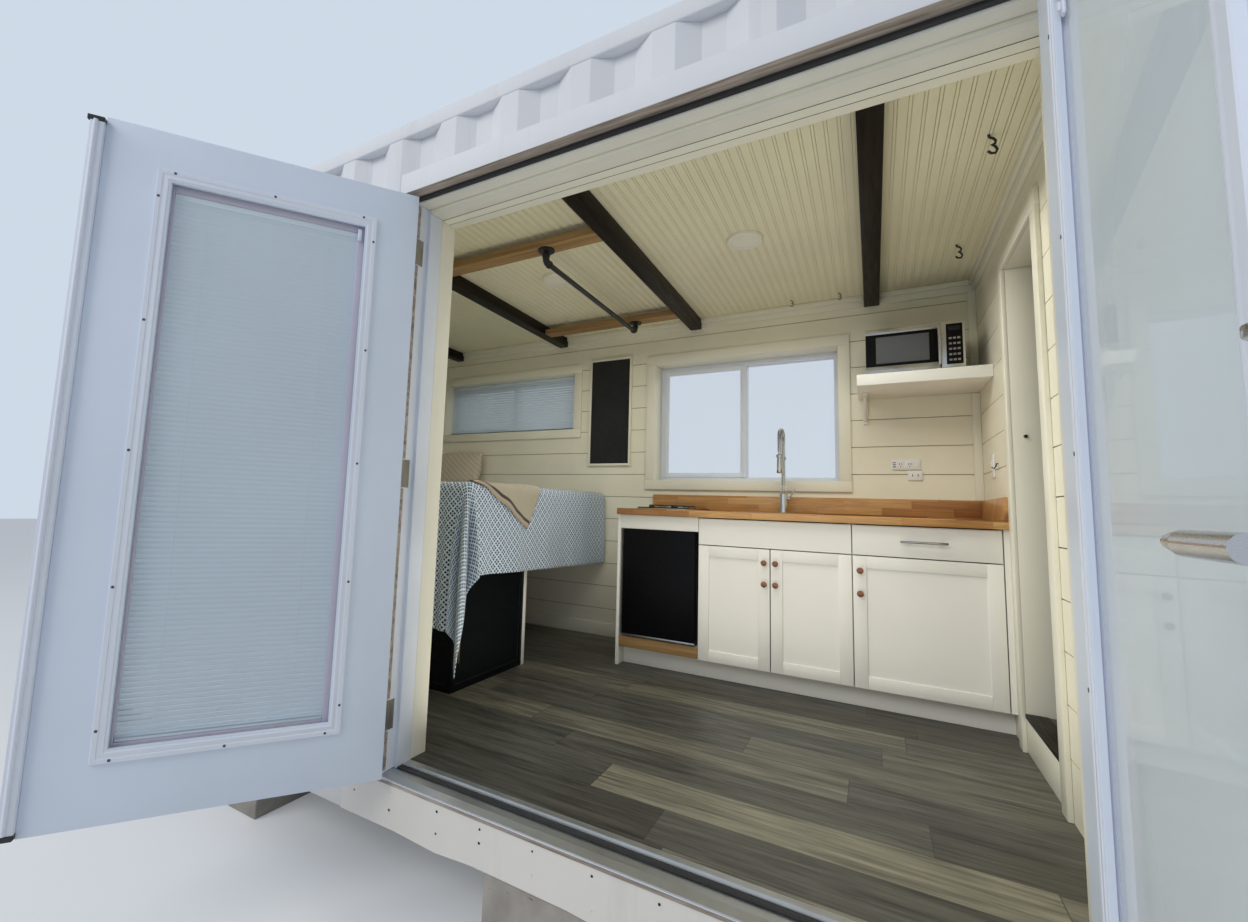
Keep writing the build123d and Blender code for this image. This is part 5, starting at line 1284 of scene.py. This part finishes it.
bm = bmesh.new()
add_lathe(bm, TAP_BODY, Matrix.Translation((SINK_MID, TAP_Y, 1.2925)), 0, 36)
neck = [neck_point(NECK_LENGTH * k / 60)[0] for k in range(61)]
add_tube(bm, [(SINK_MID, TAP_Y, 1.415)] + neck[1:], 0.0078, 0, 16)
turns, steps = 62, 12
helix = []
for k in range(turns * steps + 1):
    spot, ahead = neck_point(NECK_LENGTH * (0.10 + 0.88 * k / (turns * steps)))
    side_way = ahead.cross(Vector((1, 0, 0)))
    angle = 2 * math.pi * k / steps
    helix.append(spot + (Vector((1, 0, 0)) * math.cos(angle) + side_way * math.sin(angle)) * 0.0120)
add_tube(bm, helix, 0.0021, 0, 6)
add_lathe(bm, SPRAY_HEAD, Matrix.Translation((SINK_MID, SPRAY_Y, 1.5284)), 0, 32)
add_rod(bm, (SINK_MID, TAP_Y - 0.012, 1.630), (SINK_MID, TAP_Y - 0.128, 1.630), 0.0050, 0, 16)
add_rod(bm, (SINK_MID, SPRAY_Y, 1.622), (SINK_MID, SPRAY_Y, 1.638), 0.0205, 0, 32, ease=0.002)
add_rod(bm, (SINK_MID, TAP_Y, 1.620), (SINK_MID, TAP_Y, 1.640), 0.0165, 0, 32, ease=0.002)
add_rod(bm, (SINK_MID + 0.020, TAP_Y, 1.383), (SINK_MID + 0.040, TAP_Y, 1.383), 0.0130, 0, 28, ease=0.002)
add_rod(bm, (SINK_MID + 0.033, TAP_Y, 1.386), (SINK_MID + 0.064, TAP_Y, 1.440), 0.0048, 0, 16, 0.0036, 0.001)
finish_piece("spring_tap", bm, [CHROME], "shell", ("tap",), 45.0)

# %% [markdown]
# The compact fridge is a plain black cabinet. Its door rides on its own body: a glossy slab with a
# bright strip along its foot and a seal behind it.

# %% Fridge
eased_piece("fridge", "fridge_cabinet", BLACK_PLASTIC, 0.004)
bm = bmesh.new()
add_box(bm, (-0.2845, FRONT_Y0, 0.5480), (0.1555, 0.4560, 1.1680), 0, 0.006, 3)
add_box(bm, (-0.2780, 0.4558, 0.5540), (0.1490, 0.4642, 1.1620), 2, 0.002)
add_box(bm, (-0.2845, FRONT_Y0 - 0.0012, 0.5465), (0.1555, FRONT_Y0 + 0.010, 0.5580), 1, 0.001)
finish_piece("fridge_front_door", bm, [BLACK_GLOSS, STAINLESS, RUBBER], "fridge_front",
             ("fridge_door",))

# %% [markdown]
# On the back wall: the shelf with its bracket, the microwave oven with its glass, handle and
# keys, and the black board in its white frame.

# %% Shelf, oven and board
bm = merged_copy("wall_shelf")
ease_edges(bm, 0.003)
add_box(bm, (0.9900, 1.0140, 1.8350), (1.0140, 1.0284, 1.9868), 0, 0.002)
add_box(bm, (0.9900, 0.8200, 1.9720), (1.0140, 1.0139, 1.9868), 0, 0.002)
add_rod(bm, (1.0020, 1.0120, 1.8550), (1.0020, 0.8500, 1.9730), 0.0080, 0, 12)
finish_piece("shelf_and_bracket", bm, [CABINET_WHITE], "shell", ("wall_shelf",), 40.0)

bm = bmesh.new()
add_box(bm, (1.0116, 0.6706, 2.0580), (1.4486, 0.9886, 2.2960), 2, 0.003)
add_box(bm, (1.0116, 0.6590, 2.0565), (1.3400, 0.6705, 2.2960), 1, 0.001)
for low, high in ((2.0565, 2.0900), (2.2660, 2.2960)):
    add_box(bm, (1.0116, 0.6566, low), (1.3500, 0.6592, high), 0, 0.001)
add_box(bm, (1.0600, 0.6580, 2.1060), (1.2980, 0.6592, 2.2500), 5, 0.0004)
add_box(bm, (1.3402, 0.6566, 2.0565), (1.4486, 0.6705, 2.2960), 0, 0.002)
add_box(bm, (1.3700, 0.6558, 2.0720), (1.4390, 0.6568, 2.2820), 1, 0.0004)
add_box(bm, (1.3800, 0.6554, 2.2480), (1.4290, 0.6559, 2.2700), 3, 0.0002)
for row in range(5):
    for column in range(3):
        x, z = 1.3810 + 0.0175 * column, 2.0900 + 0.0280 * row
        add_box(bm, (x, 0.6554, z), (x + 0.0120, 0.6559, z + 0.0100), 4, 0.0002)
add_box(bm, (1.3330, 0.6290, 2.0700), (1.3460, 0.6370, 2.2840), 0, 0.0035, 3)
for z in (2.0860, 2.2680):
    add_rod(bm, (1.3395, 0.6360, z), (1.3395, 0.6570, z), 0.0050, 0, 16)
for x in (1.0416, 1.4186):
    for y in (0.7036, 0.9486):
        add_rod(bm, (x, y, 2.0485), (x, y, 2.0590), 0.0120, 2, 20, 0.0140)
oven_paints = [STAINLESS, BLACK_GLOSS, BLACK_PLASTIC, SHADE_AND_DISPLAY_BLACK, HINGE_GREY, VINYL_GREY]
finish_piece("microwave_oven", bm, oven_paints, "shell", ("microwave",), 40.0)

bm = bmesh.new()
x0, x1, z0, z1 = -0.8495, -0.5045, 1.603, 2.420
add_bars(bm, (x0, x1), (z0, z1), (1.0086, 1.0286), 0.016, 1)
add_box(bm, (x0 + 0.014, 1.0160, z0 + 0.014), (x1 - 0.014, 1.0280, z1 - 0.014), 0)
finish_piece("framed_board", bm, [BOARD_BLACK, TRIM_WHITE], "shell", ("wall_board",))

# %% [markdown]
# Each window is a slider. The left half is an inner sash in front of the fixed pane. A white
# blind hangs in the recess of the high window.

# %% Window sashes and blind
bm = bmesh.new()
for x0, x1, z0, z1 in ((-2.325, -0.975, 1.875, 2.350), (-0.337, 0.873, 1.482, 2.350)):
    a1, c0, c1 = (x0 + x1) / 2 + 0.0200, z0 + 0.0460, z1 - 0.0460
    add_bars(bm, (x0 + 0.0460, a1), (c0, c1), (1.1560, 1.1645), 0.030)
    latch_z = (c0 + c1) / 2
    add_box(bm, (a1 - 0.022, 1.1500, latch_z - 0.03), (a1 - 0.008, 1.1562, latch_z + 0.03), 0, 0.002)
finish_piece("slider_sashes", bm, [LITE_WHITE_PAINTED_SKYLIGHT], "shell")

bm = bmesh.new()
add_blind(bm, (-2.308, -0.992), 2.333, 1.915, 1.893, 1.105, 0.025, 0.0205, math.radians(58))
finish_piece("window_blind", bm, [SLAT_WHITE_PAINTED_SKYLIGHT], "shell")

# %% [markdown]
# The bed. The cover is one flat cut, laid over the mattress. A point of the flat cut that lies
# past an edge of the bed goes round a soft edge and hangs down. At the corner both edges are
# passed: there the cloth hangs lowest and lies in soft upright folds.

# %% Cloth over the bed
BED_X0, BED_Y1, BED_EDGE_X, BED_EDGE_Y = -2.735, 1.0085, -0.6975, -0.5325
COVER_TOP, EDGE_R, COVER_LONG, COVER_WIDE = 1.3960, 0.050, 2.480, 2.250


def over_edge(run, radius=EDGE_R):
    """How far out and how far down a point comes after this length past the start of the edge."""
    if run < radius * QUARTER:
        return radius * math.sin(run / radius), radius * (1 - math.cos(run / radius))
    return radius, radius + run - radius * QUARTER


def hang_cloth(across, along_y, lift=0.0):
    """The place of a flat point: metres from the far end of the bed, and from the back wall."""
    edge_x, edge_y = BED_EDGE_X - EDGE_R - BED_X0, BED_Y1 - BED_EDGE_Y - EDGE_R
    past_x, past_y = across - edge_x, along_y - edge_y
    radius = EDGE_R + lift
    wave = (0.0016 * math.sin(along_y * 9.0 + 2.0 * math.sin(across * 3.1))
            + 0.0012 * math.sin(across * 13.0 + along_y * 4.0))
    if past_x <= 0 and past_y <= 0:
        return Vector((BED_X0 + across, BED_Y1 - along_y, COVER_TOP + lift + wave))
    if past_y <= 0:
        out, down = over_edge(past_x, radius)
        folds = 0.006 + 0.006 * math.sin(along_y * 17.0 + 0.8) + 0.003 * math.sin(along_y * 41.0)
        reach = out + min(1.0, down / 0.35) * folds
        return Vector((BED_X0 + edge_x + reach, BED_Y1 - along_y, COVER_TOP + lift - down + wave * 0.3))
    if past_x <= 0:
        out, down = over_edge(past_y, radius)
        folds = 0.014 + 0.013 * math.sin(across * 46.0 + 1.5 * math.sin(across * 7.0))
        reach = out + min(1.0, down / 0.45) * folds
        return Vector((BED_X0 + across, BED_Y1 - edge_y - reach, COVER_TOP + lift - down + wave * 0.3))
    run = math.hypot(past_x, past_y)
    angle = math.atan2(past_y, past_x)
    out, down = over_edge(run, radius)
    fold = 0.5 - 0.5 * math.cos(10.0 * angle)
    corner = 0.45 + 0.55 * math.sin(2 * angle)
    swing = (0.012 * min(1.0, down / 0.4)
             + 0.110 * math.tanh(max(0.0, down - radius) / 0.30) * fold * corner)
    reach = out + swing
    return Vector((BED_X0 + edge_x + reach * math.cos(angle), BED_Y1 - edge_y - reach * math.sin(angle),
                   COVER_TOP + lift - down + 0.25 * swing))


def lay_flat(bm, origin, ways, size, steps, place, cut=None):
    """A flat grid of cloth, mapped in metres, with each point put in its place."""
    grid = bmesh.ops.create_grid(bm, x_segments=steps[0], y_segments=steps[1], size=0.5)["verts"]
    uv = bm.loops.layers.uv.new("cloth")
    flat = {v: Vector(((v.co.x + 0.5) * size[0], (v.co.y + 0.5) * size[1], 0.0)) for v in grid}
    if cut:
        for v in grid:
            flat[v] = cut(flat[v])
    for face in bm.faces:
        face.smooth = True
        for loop in face.loops:
            loop[uv].uv = flat[loop.vert][:2]
    for v in grid:
        spot = origin + ways[0] * flat[v].x + ways[1] * flat[v].y
        v.co = place(spot.x, spot.y)
    bmesh.ops.recalc_face_normals(bm, faces=bm.faces[:])


def cover_cut(spot):
    """The side hem isn't straight: it falls a little towards the back wall, and at the corner."""
    share = spot.x / COVER_LONG
    back = 1.0 - spot.y / COVER_WIDE
    drop = 1.4 * max(0.0, share - 0.8) * max(0.0, 0.2 - back)
    slope = max(0.0, share - 0.6) * 0.17 * (back - 0.35)
    return Vector((spot.x + slope + drop, spot.y + drop, 0.0))


bm = bmesh.new()
plain_ways = (Vector((1, 0, 0)), Vector((0, 1, 0)))
lay_flat(bm, Vector(), plain_ways, (COVER_LONG, COVER_WIDE), (150, 150), hang_cloth, cover_cut)
cover = finish_piece("patterned_cover", bm, [COVER_CLOTH], "shell", ("bed_cover",), 180.0)
thick = cover.modifiers.new("thickness", "SOLIDIFY")
thick.thickness, thick.offset = 0.0030, 0.0

# %% [markdown]
# The throw lies askew across the bed, and one corner of it hangs over the side. The pillow
# leans on the wall.

# %% Throw and pillow
tip = Vector((BED_EDGE_X - EDGE_R - BED_X0 + 0.285, BED_Y1 + 0.020, 0.0))
lean = math.radians(30.0)
askew_ways = (Vector((-math.cos(lean), -math.sin(lean), 0.0)),
              Vector((-math.sin(lean), math.cos(lean), 0.0)))


def lay_throw(across, along_y):
    """The throw lies a little higher than the cover, with ripples of its own."""
    ripple = 0.0025 * math.sin(across * 21.0 - along_y * 15.0)
    ripple += 0.002 * math.sin(along_y * 37.0 + across * 9.0)
    return hang_cloth(across, along_y, 0.0085 + max(-0.002, ripple))


bm = bmesh.new()
lay_flat(bm, tip, askew_ways, (1.300, 0.520), (90, 40), lay_throw)
throw = finish_piece("striped_throw", bm, [THROW_CLOTH], "shell", ("throw",), 180.0)
thick = throw.modifiers.new("thickness", "SOLIDIFY")
thick.thickness, thick.offset = 0.0050, 0.0

bm = bmesh.new()
PILLOW_U, PILLOW_W, PUFF = 0.26, 0.165, 0.062
grid = bmesh.ops.create_grid(bm, x_segments=44, y_segments=32, size=1.0)["verts"]
uv = bm.loops.layers.uv.new("cloth")
for face in bm.faces:
    for loop in face.loops:
        loop[uv].uv = (loop.vert.co.x * PILLOW_U, loop.vert.co.y * PILLOW_W)
for v in grid:
    u, w = v.co.x, v.co.y
    puff = (max(0.0, 1 - abs(u) ** 2.6) ** 0.5) * (max(0.0, 1 - abs(w) ** 2.6) ** 0.5)
    pinch = 1 - 0.055 * abs(u * w) ** 0.8
    crease = 1 + 0.05 * math.sin(9 * u + 4 * w) * abs(u) + 0.04 * math.sin(7 * w - 5 * u)
    hollow = 0.05 * (1 - w * w) * (abs(u) > 0.98)
    v.co = Vector((u * PILLOW_U * (pinch - hollow), w * PILLOW_W * pinch, PUFF * puff * crease))
bmesh.ops.mirror(bm, geom=bm.verts[:] + bm.edges[:] + bm.faces[:], matrix=Matrix.Identity(4), axis="Z",
                 merge_dist=0.0005, mirror_u=False)
bmesh.ops.recalc_face_normals(bm, faces=bm.faces[:])
low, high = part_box("pillow")
stand = Matrix.Translation((low + high) / 2) @ Matrix.Rotation(math.radians(76.0), 4, "X")
bmesh.ops.transform(bm, matrix=stand, verts=bm.verts)
pillow = finish_piece("leaning_pillow", bm, [PILLOW_CLOTH], "shell", ("pillow",), 180.0)

# %% [markdown]
# Under the bed: the dark chest has a framed panel on each face that shows, with a small brass
# pull, and a white panel closes it at the back.

# %% Chest
bm = merged_copy("bed_chest")
ends = [f for f in bm.faces if (f.normal.x > 0.99 and f.calc_area() > 0.2)
        or (f.normal.y < -0.99 and f.calc_center_median().y < -0.4 and f.calc_area() > 0.5)]
bmesh.ops.inset_individual(bm, faces=ends, thickness=0.048, depth=0.0)
bmesh.ops.inset_individual(bm, faces=ends, thickness=0.0040, depth=-0.0060)
paint_faces([f for f in bm.faces if f.calc_center_median().y > 0.0752], 1)
ease_edges(bm, 0.0016)
add_rod(bm, (-0.7400, -0.4980, 0.512), (-0.7400, -0.4980, 0.612), 0.0055, 2, 20, ease=0.001)
for z in (0.532, 0.592):
    add_rod(bm, (-0.7610, -0.4980, z), (-0.7410, -0.4980, z), 0.0040, 2, 16)
chest_paints = [CHEST_BLACK, CABINET_WHITE, BRASS]
finish_piece("dark_chest", bm, chest_paints, "shell", ("bed_chest",), 40.0)

# %% [markdown]
# The pieces that still show as they were packed get their finish here.

# %% Finishes of the model pieces
FINISHES = {
    "sill_apron": APRON_PAINT, "front_skin": WHITE_STEEL, "back_skin": WHITE_STEEL,
    "end_skins": WHITE_STEEL, "roof": WHITE_STEEL, "cross_members": JOIST_STEEL,
    "floor_deck": PLANK_FLOOR, "wet_room_floor": PLANK_FLOOR,
    "threshold": SILL_METAL, "left_glass": CLEAR_GLASS, "right_glass": CLEAR_GLASS,
    "window_glass": CLEAR_GLASS, "bed_deck": PLYWOOD, "pipe_rail": BLACK_IRON,
    "mattress": SLAT_WHITE_PAINTED_SKYLIGHT,
}
for node_name, paint in FINISHES.items():
    paint_node(node_name, paint)
unpainted = [name for name in nodes if name not in FINISHES and not nodes[name].hide_render]
print("unpainted", unpainted)

# %% [markdown]
# A pale floor carries the cabin and its shadow. The light is a soft studio: a pale world, one
# large soft lamp high on the entrance side, and a weaker one behind. Two weak soft lamps inside
# stand for the daylight that the room gets from all its openings, and one at the floor stands for
# the light that the floor throws up at the ceiling.

# %% Floor and light
def seen_share(tree):
    """1 where the camera sees a point straight, in a mirror or through glass, and 0 for other light."""
    paths = tree.nodes.new("ShaderNodeLightPath").outputs
    through = math_node(tree, "MAXIMUM", paths["Is Glossy Ray"], paths["Is Transmission Ray"])
    return math_node(tree, "MAXIMUM", through, paths["Is Camera Ray"])


def pale_floor():
    """A plain pale sheet, a little brighter where it is seen."""
    made, tree, shader, place = material("pale_floor", 0.75)
    cloudy = use(tree, CLOUDY, Vector=place, Colour=rgb(0.70, 0.71, 0.72), Scale=0.6, Amount=0.015)
    feed(tree, cloudy["Colour"], shader, "Base Color")
    shader.inputs["Emission Color"].default_value = rgb(0.90, 0.95, 1.0)
    feed(tree, times(tree, seen_share(tree), 0.16), shader, "Emission Strength")
    made.cycles.emission_sampling = "NONE"
    return made


bm = bmesh.new()
bmesh.ops.create_grid(bm, x_segments=1, y_segments=1, size=30.0)
mesh = bpy.data.meshes.new("studio_floor")
bm.to_mesh(mesh)
bm.free()
mesh.materials.append(pale_floor())
studio_floor = bpy.data.objects.new("studio_floor", mesh)
bpy.context.scene.collection.objects.link(studio_floor)

world = bpy.data.worlds.new("studio")
bpy.context.scene.world = world
world.use_nodes = True
tree = world.node_tree
sky = blend_colour(tree, seen_share(tree), rgb(0.38, 0.41, 0.46), rgb(0.62, 0.70, 0.80))
tree.links.new(sky, tree.nodes["Background"].inputs["Color"])
tree.nodes["Background"].inputs["Strength"].default_value = 1.0


def soft_lamp(name, place, towards, size, power, colour=(1.0, 1.0, 1.0)):
    """A square lamp that points at a place and isn't seen itself."""
    data = bpy.data.lights.new(name, "AREA")
    data.shape = "RECTANGLE"
    data.size, data.size_y = size
    data.energy = power
    data.color = colour
    lamp = bpy.data.objects.new(name, data)
    lamp.location = place
    lamp.rotation_euler = (Vector(towards) - Vector(place)).to_track_quat("-Z", "Y").to_euler()
    lamp.visible_camera = False
    lamp.visible_glossy = False
    bpy.context.scene.collection.objects.link(lamp)


soft_lamp("key", (-3.0, -7.5, 6.0), (0.3, 0.0, 1.2), (6.0, 4.0), 320.0, (1.0, 0.98, 0.95))
soft_lamp("rim", (5.5, 6.5, 4.5), (0.0, 0.0, 1.3), (5.0, 3.0), 150.0)
soft_lamp("room_left", (-0.9, -0.1, 2.45), (-0.9, -0.1, 0.0), (2.0, 0.8), 7.0, (1.0, 0.98, 0.92))
soft_lamp("room_right", (0.70, -0.1, 2.45), (0.70, -0.1, 0.0), (1.2, 0.8), 12.0, (1.0, 0.98, 0.92))
soft_lamp("floor_bounce", (0.3, -0.55, 0.42), (0.3, -0.45, 2.6), (1.8, 0.8), 9.0, (1.0, 0.95, 0.82))
bpy.context.scene.view_settings.view_transform = "Standard"
